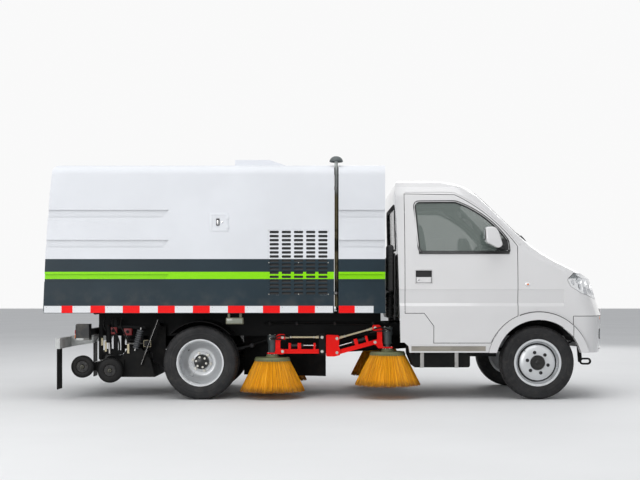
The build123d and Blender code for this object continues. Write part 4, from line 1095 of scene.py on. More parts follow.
def tyre(bm, centre, depth):
    """Spins one tyre and cuts the grooves between its shoulder blocks."""
    half = tyre_wall(depth)
    inside = [(0.0, 0.3), (0.045, 0.298), (0.068, 0.28), (0.076, 0.25), (0.07, 0.215)]
    ring = [(-a, r) for a, r in half] + [(a, r) for a, r in reversed(half)] + [(a, r) for a, r in reversed(inside)]
    ring += [(-a, r) for a, r in inside[1:]]
    made = spun(bm, ring, centre, "Y", TYRE_STEPS)
    middle = Vector(centre)

    def picked(face):
        spot = face.calc_center_median() - middle
        radius = math.hypot(spot.x, spot.z)
        step = int(math.floor((math.atan2(spot.z, spot.x) / math.tau) * TYRE_STEPS + 0.5))
        return 0.0515 < abs(spot.y) < 0.0775 and 0.3 < radius and step % BLOCK_EVERY == 0
    grooves = [f for f in made if picked(f)]
    out = bmesh.ops.extrude_face_region(bm, geom=grooves)["geom"]
    bmesh.ops.delete(bm, geom=[f for f in grooves if f.is_valid], context="FACES_ONLY")
    for vert in (v for v in out if isinstance(v, bmesh.types.BMVert)):
        away = vert.co - middle
        away.y = 0
        vert.co -= away.normalized() * depth * 0.75


def nuts(bm, centre, radius, face_y, hand, size, slot, stud=True):
    """A ring of wheel nuts standing on a disc."""
    for dx, dz in circle(radius, NUTS, NUT_TURN):
        place = Vector((centre.x + dx, face_y, centre.z + dz))
        hex_bolt(bm, place, (0, hand, 0), size=size, height=size * 1.3, slot=slot)
        if stud:
            drum(bm, place, place + Vector((0, hand * size * 1.9, 0)), size * 0.5, segments=12, bevel=0.001, slot=slot)


class SWEEPER_OT_tyres(bpy.types.Operator):
    """Mould the treaded tyres, single in front and twin at the rear"""

    bl_idname = "sweeper.tyres"
    bl_label = "Tyres"

    def execute(self, context):
        depth = sizes().tread_depth
        for hand, side in HANDS:
            bm = bmesh.new()
            tyre(bm, (FRONT_AXLE.x, hand * FRONT_WHEEL_Y, FRONT_AXLE.z), depth)
            piece(f"front_tread_{side}", bm, "tyre_rubber", f"front_wheel_{side}", (f"front_tyre_{side}",), sharp=38)
            bm = bmesh.new()
            for y in TWIN_Y:
                tyre(bm, (REAR_AXLE.x, hand * y, REAR_AXLE.z), depth)
            piece(f"twin_tread_{side}", bm, "tyre_rubber", f"rear_wheels_{side}", (f"rear_tyres_{side}",), sharp=38)
        return {"FINISHED"}


class SWEEPER_OT_hubs(bpy.types.Operator):
    """Add nuts, hub caps and valves to the steel disc wheels"""

    bl_idname = "sweeper.hubs"
    bl_label = "Hubs and nuts"

    def execute(self, context):
        finishes = ("bolt_zinc", "hub_black", "hub_black", "wheel_silver", "dark_casting", "dark_casting")
        for hand, side in HANDS:
            smooth_copy(f"front_rim_{side}", f"front_wheel_{side}", "wheel_silver", "wheel_silver", 30)
            smooth_copy(f"rear_rims_{side}", f"rear_wheels_{side}", "wheel_silver", "wheel_silver", 30)
            bm = bmesh.new()
            cap = [(0.071, 0.0), (0.071, 0.0655), (0.08, 0.0622), (0.0885, 0.0592), (0.0935, 0.0545), (0.0945, 0.048),
                   (0.096, 0.032), (0.094, 0.028), (0.094, 0.022), (0.0965, 0.0185), (0.098, 0.006), (0.098, 0.0)]
            centre = (FRONT_AXLE.x, 0, FRONT_AXLE.z)
            spun(bm, [(hand * (FRONT_WHEEL_Y + a), r) for a, r in cap], centre, "Y", 48, slot=1)
            for face in bm.faces:
                spot = face.calc_center_median()
                if math.hypot(spot.x - FRONT_AXLE.x, spot.z - FRONT_AXLE.z) < 0.019:
                    face.material_index = 2
            # Pressed dome over the disc; round its edge, a dark ring painted as the shade in the gap, and dark slabs
            # painted as the shade in the hand holes
            dome = [(0.0725, 0.064), (0.073, 0.092), (0.0705, 0.115), (0.065, 0.135), (0.0575, 0.147),
                    (0.0525, 0.153), (0.045, 0.1535), (0.045, 0.15), (0.055, 0.135), (0.06, 0.115),
                    (0.064, 0.092), (0.064, 0.064)]
            spun(bm, [(hand * (FRONT_WHEEL_Y + a), r) for a, r in dome], centre, "Y", 64, slot=3)
            gap_shade = [(0.04, 0.153), (0.0515, 0.153), (0.0468, 0.162), (0.043, 0.167), (0.038, 0.168), (0.038, 0.153)]
            spun(bm, [(hand * (FRONT_WHEEL_Y + a), r) for a, r in gap_shade], centre, "Y", 64, slot=4)
            # Dark slabs painted as the shade inside the hand holes
            for k in range(6):
                turn = Matrix.Rotation(math.radians(-20 - 60 * k), 4, "Y")
                slab(bm, (0.1525, hand * (FRONT_WHEEL_Y + 0.038), -0.017),
                     (0.166, hand * (FRONT_WHEEL_Y + 0.0535), 0.017), bevel=0.005, segments=3,
                     matrix=Matrix.Translation(centre) @ turn, slot=1)
            nuts(bm, FRONT_AXLE, 0.091, hand * (FRONT_WHEEL_Y + 0.072), hand, 0.0115, 5)
            valve(bm, FRONT_AXLE, 0.158, hand * (FRONT_WHEEL_Y + 0.04), hand, 1)
            piece(f"front_hub_{side}", bm, finishes, f"front_wheel_{side}")

            bm = bmesh.new()
            cap = [(0.645, 0.0), (0.645, 0.0662), (0.686, 0.063), (0.696, 0.059), (0.7005, 0.054), (0.7005, 0.03),
                   (0.702, 0.026), (0.704, 0.012), (0.7045, 0.0)]
            centre = (REAR_AXLE.x, 0, REAR_AXLE.z)
            spun(bm, [(hand * a, r) for a, r in cap], centre, "Y", 48, slot=1)
            nuts(bm, REAR_AXLE, 0.045, hand * 0.7, hand, 0.0075, 0, stud=False)
            nuts(bm, REAR_AXLE, 0.0775, hand * 0.641, hand, 0.011, 0)
            valve(bm, REAR_AXLE, 0.15, hand * 0.64, hand, 1)
            piece(f"rear_hub_{side}", bm, finishes, f"rear_wheels_{side}")
        return {"FINISHED"}


def valve(bm, centre, radius, y, hand, slot):
    """A tyre valve with its cap."""
    turn = NUT_TURN + math.tau * 0.25
    place = Vector((centre.x + radius * math.cos(turn), y, centre.z + radius * math.sin(turn)))
    drum(bm, place, place + Vector((0, hand * 0.034, 0)), 0.0042, segments=12, slot=slot)
    drum(bm, place + Vector((0, hand * 0.024, 0)), place + Vector((0, hand * 0.038, 0)), 0.0052, segments=12,
         bevel=0.001, slot=slot)


# X, height and radius of the suction head's wheel pairs
NOZZLE_WHEELS = (("nozzle_front_wheels", -1.938, 0.24, 0.108), ("nozzle_rear_wheels", -2.179, 0.273, 0.097))


class SWEEPER_OT_nozzle_wheels(bpy.types.Operator):
    """Turn the suction head's solid rubber wheels"""

    bl_idname = "sweeper.nozzle_wheels"
    bl_label = "Suction head wheels"

    def execute(self, context):
        for body, x, z, radius in NOZZLE_WHEELS:
            bm = bmesh.new()
            drum(bm, (x, -0.64, z), (x, 0.64, z), 0.0099, segments=20, bevel=0.001, slot=1)
            for hand, _ in HANDS:
                y = hand * 0.6
                rubber = [(-0.03, 0.056), (-0.033, radius - 0.022), (-0.029, radius - 0.008), (-0.021, radius),
                          (-0.006, radius), (-0.005, radius - 0.004), (0.005, radius - 0.004), (0.006, radius),
                          (0.021, radius), (0.029, radius - 0.008), (0.033, radius - 0.022), (0.03, 0.056)]
                spun(bm, rubber, (x, y, z), "Y", 56)
                plate_ring = [(-0.022, 0.0), (-0.022, 0.05), (-0.029, 0.0565), (0.029, 0.0565), (0.022, 0.05),
                              (0.022, 0.0)]
                spun(bm, plate_ring, (x, y, z), "Y", 40, slot=1)
                boss = [(-0.033, 0.0), (-0.033, 0.018), (-0.021, 0.023), (0.021, 0.023), (0.033, 0.018), (0.033, 0.0)]
                spun(bm, boss, (x, y, z), "Y", 28, slot=2)
                drum(bm, (x, y + hand * 0.032, z), (x, y + hand * 0.035, z), 0.015, segments=24, bevel=0.001, slot=4)
                for dx, dz in circle(0.037, 4, math.radians(20)):
                    hex_bolt(bm, (x + dx, y + hand * 0.0215, z + dz), (0, hand, 0), size=0.006, height=0.006, slot=3)
                hex_bolt(bm, (x, y + hand * 0.0325, z), (0, hand, 0), size=0.009, height=0.0074, slot=3)
            piece(f"{body}_rubber", bm, ("hose_rubber", "hub_black", "hub_black", "dark_casting", "olive_grey"), body,
                  (body,))
        return {"FINISHED"}


# Side brushes: bristles, heads, links and lift cylinders


def tube(bm, points, radius, slot=0):
    """A round tube along a smooth curve through a few control points."""
    curve = bpy.data.curves.new("tube", "CURVE")
    curve.dimensions = "3D"
    spline = curve.splines.new("NURBS")
    spline.points.add(len(points) - 1)
    for point, place in zip(spline.points, points):
        point.co = (*place, 1.0)
    spline.order_u = 3
    spline.use_endpoint_u = True
    spline.resolution_u = 6
    curve.bevel_depth = radius
    curve.bevel_resolution = 3
    curve.use_fill_caps = True
    merge_curve(bm, curve, slot)


def merge_curve(bm, curve, slot):
    """Adds a curve's tubes to a bmesh."""
    holder = linked("tube", curve)
    mesh = bpy.data.meshes.new_from_object(holder.evaluated_get(bpy.context.evaluated_depsgraph_get()))
    before = len(bm.faces)
    bm.from_mesh(mesh)
    bm.faces.ensure_lookup_table()
    fill(bm.faces[before:], slot)
    bpy.data.objects.remove(holder)
    bpy.data.curves.remove(curve)
    bpy.data.meshes.remove(mesh)


BRUSH_Y = 0.59
LINK_LENGTH, LINK_RISE = 0.345, 0.124
# place: inner pin, link angle, disc top, motor (reach, low, top, cap radius), bristle tips
BRUSHES = {
    "front": ((0.045, 0.395), 15.5, 0.406, (0.111, 0.476, 0.618, 0.045), 0.11),
    "rear": ((-0.085, 0.406), 180.0, 0.356, (0.09, 0.402, 0.548, 0.04), 0.058),
}
TIP_R, TIP_WIDTH, TUFTS = 0.286, 0.07, 44


class BrushPlace:
    """Where one side brush's parts are at rest."""

    def __init__(self, place, hand):
        (x, z), angle, self.disc, (reach, self.low, self.top, self.cap), self.tips = BRUSHES[place]
        self.out = 1 if angle < 90 else -1
        self.y = hand * BRUSH_Y
        self.hand = hand
        self.inner = Vector((x, self.y, z))
        self.along = Vector((math.cos(math.radians(angle)), 0, math.sin(math.radians(angle))))
        self.end = self.inner + self.along * LINK_LENGTH
        self.across = Vector((-self.along.z, 0, self.along.x)) * self.out
        self.axis = (self.end.x + self.out * reach, self.y)


def each_brush():
    """Every side brush: its name, where it is at rest, and whether it is a front or a rear one."""
    for hand, side in HANDS:
        for place in BRUSHES:
            yield f"{place}_{side}", BrushPlace(place, hand), place


def bristle_cone(bm, brush, shuffle):
    """The dense inner body of bristles: a fluted bell with ragged lower edge."""
    x, y = brush.axis
    top, low = brush.disc - 0.026, brush.tips + 0.004
    drop = top - low
    profile = [(top, 0.088), (top, 0.143), (top - drop * 0.25, 0.176), (top - drop * 0.5, 0.212),
               (top - drop * 0.75, 0.244), (low, 0.27), (low + 0.01, 0.225), (top - drop * 0.5, 0.15)]
    made = spun(bm, profile, (x, y, 0), "Z", 180)

    def spot(vert):
        dx, dy = vert.co.x - x, vert.co.y - y
        return round(vert.co.z, 4), round(math.hypot(dx, dy), 3), round(math.atan2(dy, dx), 3)
    # Sorted by place, as the order in which a spin leaves its vertices can change from run to run
    for vert in sorted(once(v for f in made for v in f.verts), key=spot):
        out = vert.co - Vector((x, y, vert.co.z))
        share = (top - vert.co.z) / drop
        if share > 0.1:
            vert.co += out.normalized() * shuffle.uniform(-0.005, 0.001) * share
            if share > 0.9:
                vert.co.z += shuffle.uniform(0.0, 0.014)


def bristle_strands(bm, brush, shuffle, count):
    """Single strands over the cone, gathered in tufts at the disc."""
    x, y = brush.axis
    curve = bpy.data.curves.new("strands", "CURVE")
    curve.dimensions = "3D"
    curve.bevel_depth = 1.0
    curve.bevel_resolution = 0
    top = brush.disc - 0.022
    for k in range(count):
        outer = k % 4 != 0
        tuft = math.tau * (shuffle.randrange(TUFTS) + shuffle.uniform(-0.3, 0.3)) / TUFTS
        turn = tuft + shuffle.gauss(0, 0.05)
        root = shuffle.uniform(0.137, 0.148) if outer else shuffle.uniform(0.092, 0.132)
        tip = shuffle.uniform(0.266, TIP_R) if outer else shuffle.uniform(TIP_R - TIP_WIDTH, 0.262)
        bow = shuffle.uniform(0.0, 0.004)
        end = brush.tips + abs(shuffle.gauss(0, 0.007))
        spline = curve.splines.new("POLY")
        spline.points.add(4)
        for i in range(5):
            t = i / 4
            radius = root + (tip - root) * t + bow * math.sin(math.pi * t)
            swing = tuft + (turn - tuft) * t
            z = top + (end - top) * t
            point = spline.points[i]
            point.co = (x + radius * math.cos(swing), y + radius * math.sin(swing), z, 1.0)
            point.radius = 0.0019 - 0.0007 * t
    merge_curve(bm, curve, 0)


class SWEEPER_OT_brushes(bpy.types.Operator):
    """Make the four side brushes: disc, dense cone and strands"""

    bl_idname = "sweeper.brushes"
    bl_label = "Side brushes"

    def execute(self, context):
        for name, brush, place in each_brush():
            shuffle = random.Random(f"{place}{0 if brush.hand == RIGHT else 1}")
            bm = bmesh.new()
            bristle_strands(bm, brush, shuffle, sizes().strands)
            bristle_cone(bm, brush, shuffle)
            x, y = brush.axis
            top = brush.disc
            disc = [(top + 0.022, 0.0126), (top + 0.022, 0.05), (top + 0.001, 0.058), (top - 0.003, 0.112),
                    (top - 0.001, 0.12), (top, 0.146), (top - 0.004, 0.15), (top - 0.026, 0.15),
                    (top - 0.031, 0.146), (top - 0.031, 0.086), (top - 0.014, 0.08), (top - 0.014, 0.0126)]
            spun(bm, disc, (x, y, 0), "Z", 64, slot=1)
            for dx, dy in circle(0.036, 6):
                hex_bolt(bm, (x + dx, y + dy, top + 0.0215), (0, 0, 1), size=0.006, height=0.006, slot=2)
            # Tuft collars round the disc's edge
            for dx, dy in circle(0.1485, TUFTS):
                drum(bm, (x + dx, y + dy, top - 0.015), (x + dx, y + dy, top - 0.033), 0.0075, segments=8, slot=1)
            piece(f"{name}_bristles", bm, (f"fibre_{name}", "disc_green", "bolt_zinc"), f"{name}_brush",
                  (f"{name}_brush",), sharp=50)
        return {"FINISHED"}


def pin_bolts(bm, spot):
    """Bolt heads on both ends of a link's lower and upper pin."""
    for level in (0, LINK_RISE):
        for way in (-1, 1):
            hex_bolt(bm, spot + Vector((0, way * 0.0355, level)), (0, way, 0), size=0.01, height=0.009)


def head_slot(brush):
    """Says which finish each face of a brush head takes: red post, grey motor or steel spindle."""
    def choose(face):
        spot = face.calc_center_median()
        reach = math.hypot(spot.x - brush.axis[0], spot.y - brush.axis[1])
        if spot.z > brush.disc + 0.0405 and reach < brush.cap + 0.0005:
            return 1
        if spot.z > brush.top - 0.04 and abs(spot.y - brush.axis[1]) > brush.cap:
            return 1
        if spot.z < brush.disc + 0.0275 and reach < 0.02:
            return 2
        return 0
    return choose


def motor_details(bm, brush):
    """Bolts, cover rings and hose fittings on a brush motor."""
    x, y = brush.axis
    middle = brush.low + (brush.top - brush.low) * 0.55
    for z, radius in ((brush.low, 0.0385), (middle - 0.006, 0.04), (brush.top - 0.006, brush.cap + 0.0012)):
        ring = [(z - 0.004, radius - 0.006), (z - 0.004, radius), (z + 0.004, radius), (z + 0.004, radius - 0.006)]
        spun(bm, ring, (x, y, 0), "Z", 32, slot=1)
    for dx, dy in circle(brush.cap - 0.011, 4, math.radians(45)):
        hex_bolt(bm, (x + dx, y + dy, brush.top - 0.001), (0, 0, 1), size=0.006, height=0.0075)
    for dx in (-0.016, 0.016):
        start = Vector((x + dx, y + brush.hand * (brush.cap + 0.01), brush.top - 0.028))
        drum(bm, start, start + Vector((0, brush.hand * 0.016, 0)), 0.0105, segments=6)
        bends = ((0, 0.014, 0, 0), (0, 0.03, 0, 0), (0.02, 0.032, 0.004, 0.4), (0.06, 0.02, 0.012, 1),
                 (0.105, 0.0, 0.006, 1), (0.135, -0.016, -0.004, 1))
        tube(bm, [start + Vector((-brush.out * back, brush.hand * off, rise + dx * share))
                  for back, off, rise, share in bends], 0.0062, slot=2)


class SWEEPER_OT_heads(bpy.types.Operator):
    """Paint the brush heads' red posts and grey motors, with bolts, fittings and hoses"""

    bl_idname = "sweeper.heads"
    bl_label = "Brush heads"

    def execute(self, context):
        for name, brush, _ in each_brush():
            sorted_copy(f"{name}_head", f"{name}_head", ("arm_red", "motor_grey", "plain_steel"), head_slot(brush))
            bm = bmesh.new()
            motor_details(bm, brush)
            pin_bolts(bm, brush.end)
            # The foot plate's bolts
            x, y = brush.axis
            for dy in (-0.029, 0.029):
                for dx in (-0.034, 0.034):
                    hex_bolt(bm, (x + dx, y + dy, brush.disc + 0.0395), (0, 0, 1), size=0.005, height=0.005)
            piece(f"{name}_head_fittings", bm, ("bolt_zinc", "motor_grey", "hose_rubber"), f"{name}_head")
        return {"FINISHED"}


def rod_end(bm, eye, along):
    """One end of a tie rod: ball-joint eye, tapered socket and lock nut."""
    half = Vector((0, 0.0139, 0))
    drum(bm, eye - half, eye + half, 0.0139, segments=28, bevel=0.0015)
    drum(bm, eye + along * 0.01, eye + along * 0.04, 0.0125, segments=20)
    drum(bm, eye + along * 0.04, eye + along * 0.066, 0.0125, segments=20, end_radius=0.0088)
    drum(bm, eye + along * 0.066, eye + along * 0.076, 0.0125, segments=6, slot=1)


class SWEEPER_OT_links(bpy.types.Operator):
    """Make the brush arms, their tie rods and the small lift cylinders between them"""

    bl_idname = "sweeper.links"
    bl_label = "Brush links"

    def execute(self, context):
        for name, brush, place in each_brush():
            smooth_copy(f"{name}_arm", f"{name}_arm", "arm_red", "arm_red", 28)
            bm = bmesh.new()
            along = brush.along
            # The rear rod starts short of the frame bracket, which the raised arm swings up to
            lead = 0.03 if place == "front" else 0.054
            start = brush.inner + along * lead + brush.across * 0.052
            finish = brush.inner + along * (LINK_LENGTH - 0.052) + brush.across * 0.052
            split = start.lerp(finish, 0.48)
            drum(bm, start, split, 0.006, segments=18, slot=1)
            drum(bm, split - along * 0.004, finish, 0.0165, segments=24, bevel=0.002, slot=2)
            drum(bm, split - along * 0.006, split + along * 0.012, 0.0185, segments=24, bevel=0.002, slot=2)
            # Clevis blocks that carry the cylinder on the arm
            lugs = [(split + along * 0.03, 0.016), (finish - along * 0.01, 0.011)]
            if place == "rear":
                lugs.append((start + along * 0.012, 0.01))
            turn = Matrix((along, Vector((0, 1, 0)), brush.across.normalized())).transposed().to_4x4()
            for spot, half in lugs:
                slab(bm, (-half, -0.021, -0.04), (half, 0.021, 0.0215), bevel=0.003,
                     matrix=Matrix.Translation(spot) @ turn)
            piece(f"{name}_lift_cylinder", bm, ("arm_red", "bright_steel", "trim_black"), f"{name}_arm")

            bm = bmesh.new()
            first = brush.inner + Vector((0, 0, LINK_RISE))
            last = brush.end + Vector((0, 0, LINK_RISE))
            rod_end(bm, first, along)
            rod_end(bm, last, -along)
            drum(bm, first + along * 0.07, last - along * 0.07, 0.008, segments=20)
            piece(f"{name}_tie_rod", bm, ("cream_paint", "bolt_zinc"), f"{name}_rod", (f"{name}_rod",))
        for hand, side in HANDS:
            bm = bmesh.new()
            for place in BRUSHES:
                pin_bolts(bm, BrushPlace(place, hand).inner)
            for z in (0.455, 0.52):
                for y in (-0.012, 0.012):
                    hex_bolt(bm, (-0.0385, hand * BRUSH_Y + y, z), (1, 0, 0), size=0.007, height=0.006)
            piece(f"bracket_bolts_{side}", bm, "bolt_zinc", "chassis")
        smooth_copy("brush_brackets", "chassis", "arm_red", "arm_red", 28)
        return {"FINISHED"}


# Cab trim: seals, mirrors, handles, lamps, grille, wipers and sill


def arc(first, middle, last, steps=14):
    """Points along the circle through three 2-D points."""
    a, b, c = Vector(first), Vector(middle), Vector(last)
    d = 2 * (a.x * (b.y - c.y) + b.x * (c.y - a.y) + c.x * (a.y - b.y))
    x = (a.length_squared * (b.y - c.y) + b.length_squared * (c.y - a.y) + c.length_squared * (a.y - b.y)) / d
    y = (a.length_squared * (c.x - b.x) + b.length_squared * (a.x - c.x) + c.length_squared * (b.x - a.x)) / d
    centre = Vector((x, y))
    start, end = (a - centre), (c - centre)
    turn = start.angle_signed(end)
    if (start.angle_signed(b - centre) > 0) != (turn > 0):
        turn -= math.copysign(math.tau, turn)
    return [centre + Matrix.Rotation(-turn * i / steps, 2) @ start for i in range(steps + 1)]


def skin(nodes, hand, least=0.55):
    """Finds the side skin's point and outward normal at a place in side view, stepping over shut lines."""
    def place(x, z):
        for dx, dz in ((0, 0), (0.004, 0), (-0.004, 0), (0, 0.004), (0, -0.004), (0.009, 0), (-0.009, 0)):
            hit = touch(nodes, (x + dx, hand * 2.0, z + dz), (0, -hand, 0))
            if hit and abs(hit[0].y) > least:
                return Vector((x, hit[0].y, z)), hit[1]
        return Vector((x, hand * 0.8, z)), Vector((0, hand, 0))
    return place


def face_skin(nodes, start_x, way, least):
    """The same for a place seen from the front or the back, as (y, z)."""
    def place(y, z):
        for dy, dz in ((0, 0), (0.004, 0), (-0.004, 0), (0, 0.004), (0, -0.004), (0, 0.009), (0, -0.009)):
            hit = touch(nodes, (start_x, y + dy, z + dz), (way, 0, 0))
            if hit and (hit[0].x - least) * -way > 0:
                return Vector((hit[0].x, y, z)), hit[1]
        return Vector((least, y, z)), Vector((-way, 0, 0))
    return place


WINDOW = [(0.71, 1.704), (0.88, 1.705), *arc((1.065, 1.706), (1.29, 1.59), (1.508, 1.366)),
          (1.5145, 1.31), (1.519, 1.266), (1.14, 1.266), (0.748, 1.266)]


def traced(bm, points, place, width, lift, slot=0):
    """A narrow raised line along an open run of 2-D points on a skin."""
    rows = []
    for i, point in enumerate(points):
        before, after = points[max(i - 1, 0)], points[min(i + 1, len(points) - 1)]
        side = (Vector(after) - Vector(before)).normalized()
        side = Vector((side.y, -side.x)) * width / 2
        row = []
        for shift, height in ((side, -LINE_SINK), (side, lift), (-side, lift), (-side, -LINE_SINK)):
            spot, normal = place(point[0] + shift.x, point[1] + shift.y)
            row.append(bm.verts.new(spot + normal * height))
        rows.append(row)
    faces = []
    for first, second in zip(rows, rows[1:]):
        for k in range(3):
            faces.append(bm.faces.new((first[k], first[k + 1], second[k + 1], second[k])))
        faces.append(bm.faces.new((first[3], first[0], second[0], second[3])))
    faces.append(bm.faces.new(rows[0]))
    faces.append(bm.faces.new(rows[-1]))
    fill(faces, slot)


class SWEEPER_OT_door_trim(bpy.types.Operator):
    """Fit the doors' window seals, handles and marker lamps, and the rain rails"""

    bl_idname = "sweeper.door_trim"
    bl_label = "Door trim"

    def execute(self, context):
        outline = rounded(WINDOW, 0.045, 4)
        for hand, side in HANDS:
            body = f"door_{side}"
            place = skin((f"door_{side}", f"door_glass_{side}"), hand)
            bm = bmesh.new()
            banded(bm, outline, -0.011, 0.011, 0.0045, place)
            # Weather strip under the glass, thicker than the seal
            traced(bm, row((0.745, 1.262), (1.52, 1.262), 14), place, 0.024, 0.0075)
            piece(f"window_seal_{side}", bm, "seal_rubber", body, sharp=40, outward=True)

            bm = bmesh.new()
            # Hand hold: a dark sheet painted as the shade in the pocket's recess, flap surround and lock barrel
            slab(bm, (0.718, hand * 0.7862, 1.053), (0.854, hand * 0.7875, 1.108))
            pocket = rounded(rect(0.712, 1.114, 0.86, 0.996), 0.016, 4)
            banded(bm, pocket, -0.005, 0.004, 0.003, place, slot=1)
            flap = rounded(rect(0.724, 1.05, 0.848, 1.006), 0.012, 4)
            plate(bm, [(p.x, hand * 0.7995, p.y) for p in flap], (0, hand * 0.0065, 0), slot=1)
            drum(bm, (0.742, hand * 0.805, 1.028), (0.742, hand * 0.8085, 1.028), 0.0085, segments=24, bevel=0.001,
                 slot=2)
            drum(bm, (0.742, hand * 0.808, 1.028), (0.742, hand * 0.809, 1.028), 0.005, segments=20)
            piece(f"door_handle_{side}", bm, ("trim_black", "cab_paint", "chrome"), body, sharp=35, outward=True)

            # Rain rail along the roof edge
            place = skin(("cab_shell",), hand)
            bm = bmesh.new()
            roof = row((0.632, 1.795), (1.032, 1.795), 8) + arc((1.07, 1.787), (1.378, 1.59), (1.612, 1.33), 16)
            traced(bm, roof, place, 0.012, 0.005)
            piece(f"rain_rail_{side}", bm, "cab_paint", "chassis", sharp=40, outward=True)

            # Side marker lamp on the wing
            spot, normal = place(1.674, 0.99)
            bm = bmesh.new()
            slab(bm, (-0.02, -0.013, -0.002), (0.02, 0.013, 0.004), bevel=0.003, segments=3,
                 matrix=facing(spot, normal))
            drum(bm, spot, spot + normal * 0.009, 0.0085, segments=24, bevel=0.002, slot=1)
            piece(f"side_marker_{side}", bm, ("chrome", "lens_amber"), "chassis", sharp=35)
        return {"FINISHED"}


class SWEEPER_OT_mirrors(bpy.types.Operator):
    """Make the door mirrors: rounded shells, glass, arms and black feet"""

    bl_idname = "sweeper.mirrors"
    bl_label = "Door mirrors"

    def execute(self, context):
        for hand, side in HANDS:
            body = f"door_{side}"
            bm = bmesh.new()
            # Blown shell, widest low down, with its glass facing back
            shape = rounded(((1.294, 1.474), (1.372, 1.476), (1.402, 1.442), (1.44, 1.318), (1.404, 1.294),
                             (1.3, 1.346)), 0.02, 3)
            inside, outside = hand * 0.812, hand * 0.95
            verts = plate(bm, [(p.x, inside, p.y) for p in shape], (0, outside - inside, 0))
            rims = [e for e in edges_of(verts) if len({round(v.co.y, 4) for v in e.verts}) == 1]
            bmesh.ops.bevel(bm, geom=rims, offset=0.013, segments=4, profile=0.5, affect="EDGES", material=-1)
            rim = rounded(rect(0.838, 1.368, 0.924, 1.458), 0.02, 4)
            plate(bm, [(1.2945, hand * p.x, p.y) for p in rim], (-0.003, 0, 0), slot=1)
            inner = rounded(rect(0.843, 1.373, 0.919, 1.453), 0.016, 4)
            plate(bm, [(1.2918, hand * p.x, p.y) for p in inner], (-0.002, 0, 0), slot=2)
            # Arm and three-cornered foot at the window's front corner
            drum(bm, (1.4, hand * 0.826, 1.346), (1.47, hand * 0.806, 1.318), 0.013, segments=18, slot=1)
            drum(bm, (1.4, hand * 0.826, 1.324), (1.462, hand * 0.806, 1.296), 0.0105, segments=18, slot=1)
            place = skin((f"door_{side}", f"door_glass_{side}"), hand)
            foot = rounded(((1.405, 1.283), (1.512, 1.283), (1.509, 1.352), (1.462, 1.392)), 0.012, 3)
            low = [place(p.x, p.y)[0] for p in foot]
            plate(bm, [v - Vector((0, hand * 0.004, 0)) for v in low], (0, hand * 0.02, 0), slot=1)
            drum(bm, (1.466, hand * 0.786, 1.312), (1.466, hand * 0.816, 1.312), 0.019, segments=24, bevel=0.003,
                 slot=1)
            piece(f"mirror_shell_{side}", bm, ("cab_paint", "trim_black", "mirror_glass"), body, (f"mirror_{side}",),
                  sharp=38, outward=True)
        return {"FINISHED"}


class SWEEPER_OT_front(bpy.types.Operator):
    """Fit the headlights, grille bars, fog lamps, blank plate and bumper lip"""

    bl_idname = "sweeper.front"
    bl_label = "Front end"

    def execute(self, context):
        # Clear covers over a chromed lining, with lamp bowls between the two
        sorted_copy("headlights", "chassis", ("lamp_cover", "chrome"),
                    lambda face: 1 if touch(WALLED_CAB, face.calc_center_median() + face.normal * 0.002,
                                            face.normal) else 0)
        bm = bmesh.new()
        bumper = bmesh.new()
        corner = face_skin(("front_bumper",), 3.0, -1, 2.1)
        for hand, _ in HANDS:
            place = skin(("headlights",), hand, 0.3)
            for x, z, radius in ((2.31, 0.948, 0.046), (2.215, 0.99, 0.035), (2.122, 1.02, 0.026)):
                spot, normal = place(x, z)
                spot -= normal * 0.017
                bowl = [(0.0, 0.0), (0.0, radius * 0.45), (0.004, radius * 0.8), (0.012, radius),
                        (0.012, radius * 1.06), (-0.004, radius * 1.06), (-0.004, 0.0)]
                part = bmesh.new()
                spun(part, bowl, (0, 0, 0), "Z", 36)
                drum(part, (0, 0, 0), (0, 0, 0.01), radius * 0.24, segments=20, bevel=0.002, slot=1)
                join(bm, part, facing(spot, normal))
            # Fog lamp and indicator in the bumper's corner
            spot, normal = corner(hand * 0.56, 0.56)
            drum(bumper, spot - normal * 0.006, spot + normal * 0.004, 0.047, segments=36, bevel=0.003, slot=1)
            drum(bumper, spot, spot + normal * 0.007, 0.038, segments=36, bevel=0.003, slot=2)
            slab(bumper, (-0.03, -0.016, -0.012), (0.03, 0.016, 0.0012), bevel=0.004,
                 matrix=facing(*corner(hand * 0.56, 0.7)), slot=3)
        piece("lamp_bowls", bm, ("chrome", "lens_clear", "lens_amber"), "chassis", sharp=40)
        # Bumper lip and the blank plate on its carrier
        traced(bumper, row((-0.6, 0.432), (0.6, 0.432), 24), corner, 0.014, 0.01)
        slab(bumper, (2.444, -0.225, 0.633), (2.4545, 0.225, 0.777), bevel=0.004)
        slab(bumper, (2.454, -0.218, 0.639), (2.4562, 0.218, 0.771), bevel=0.001, slot=4)
        for y in (-0.105, 0.105):
            drum(bumper, (2.457, y, 0.755), (2.459, y, 0.755), 0.006, segments=16, bevel=0.001, slot=1)
        piece("bumper_trim", bumper, ("cab_paint", "trim_black", "lens_clear", "lens_amber", "white_paint"),
              "chassis", sharp=35)

        # Bright bars across both grilles, lying in the open slots' edges
        bm = bmesh.new()
        place = face_skin(("front_grille",), 3.0, -1, 2.1)
        for z, half in ((0.549, 0.318), (0.95, 0.336)):
            traced(bm, row((-half, z), (half, z), 10), place, 0.012, 0.006)
        piece("grille_bars", bm, "chrome", "chassis", sharp=35, outward=True)
        return {"FINISHED"}


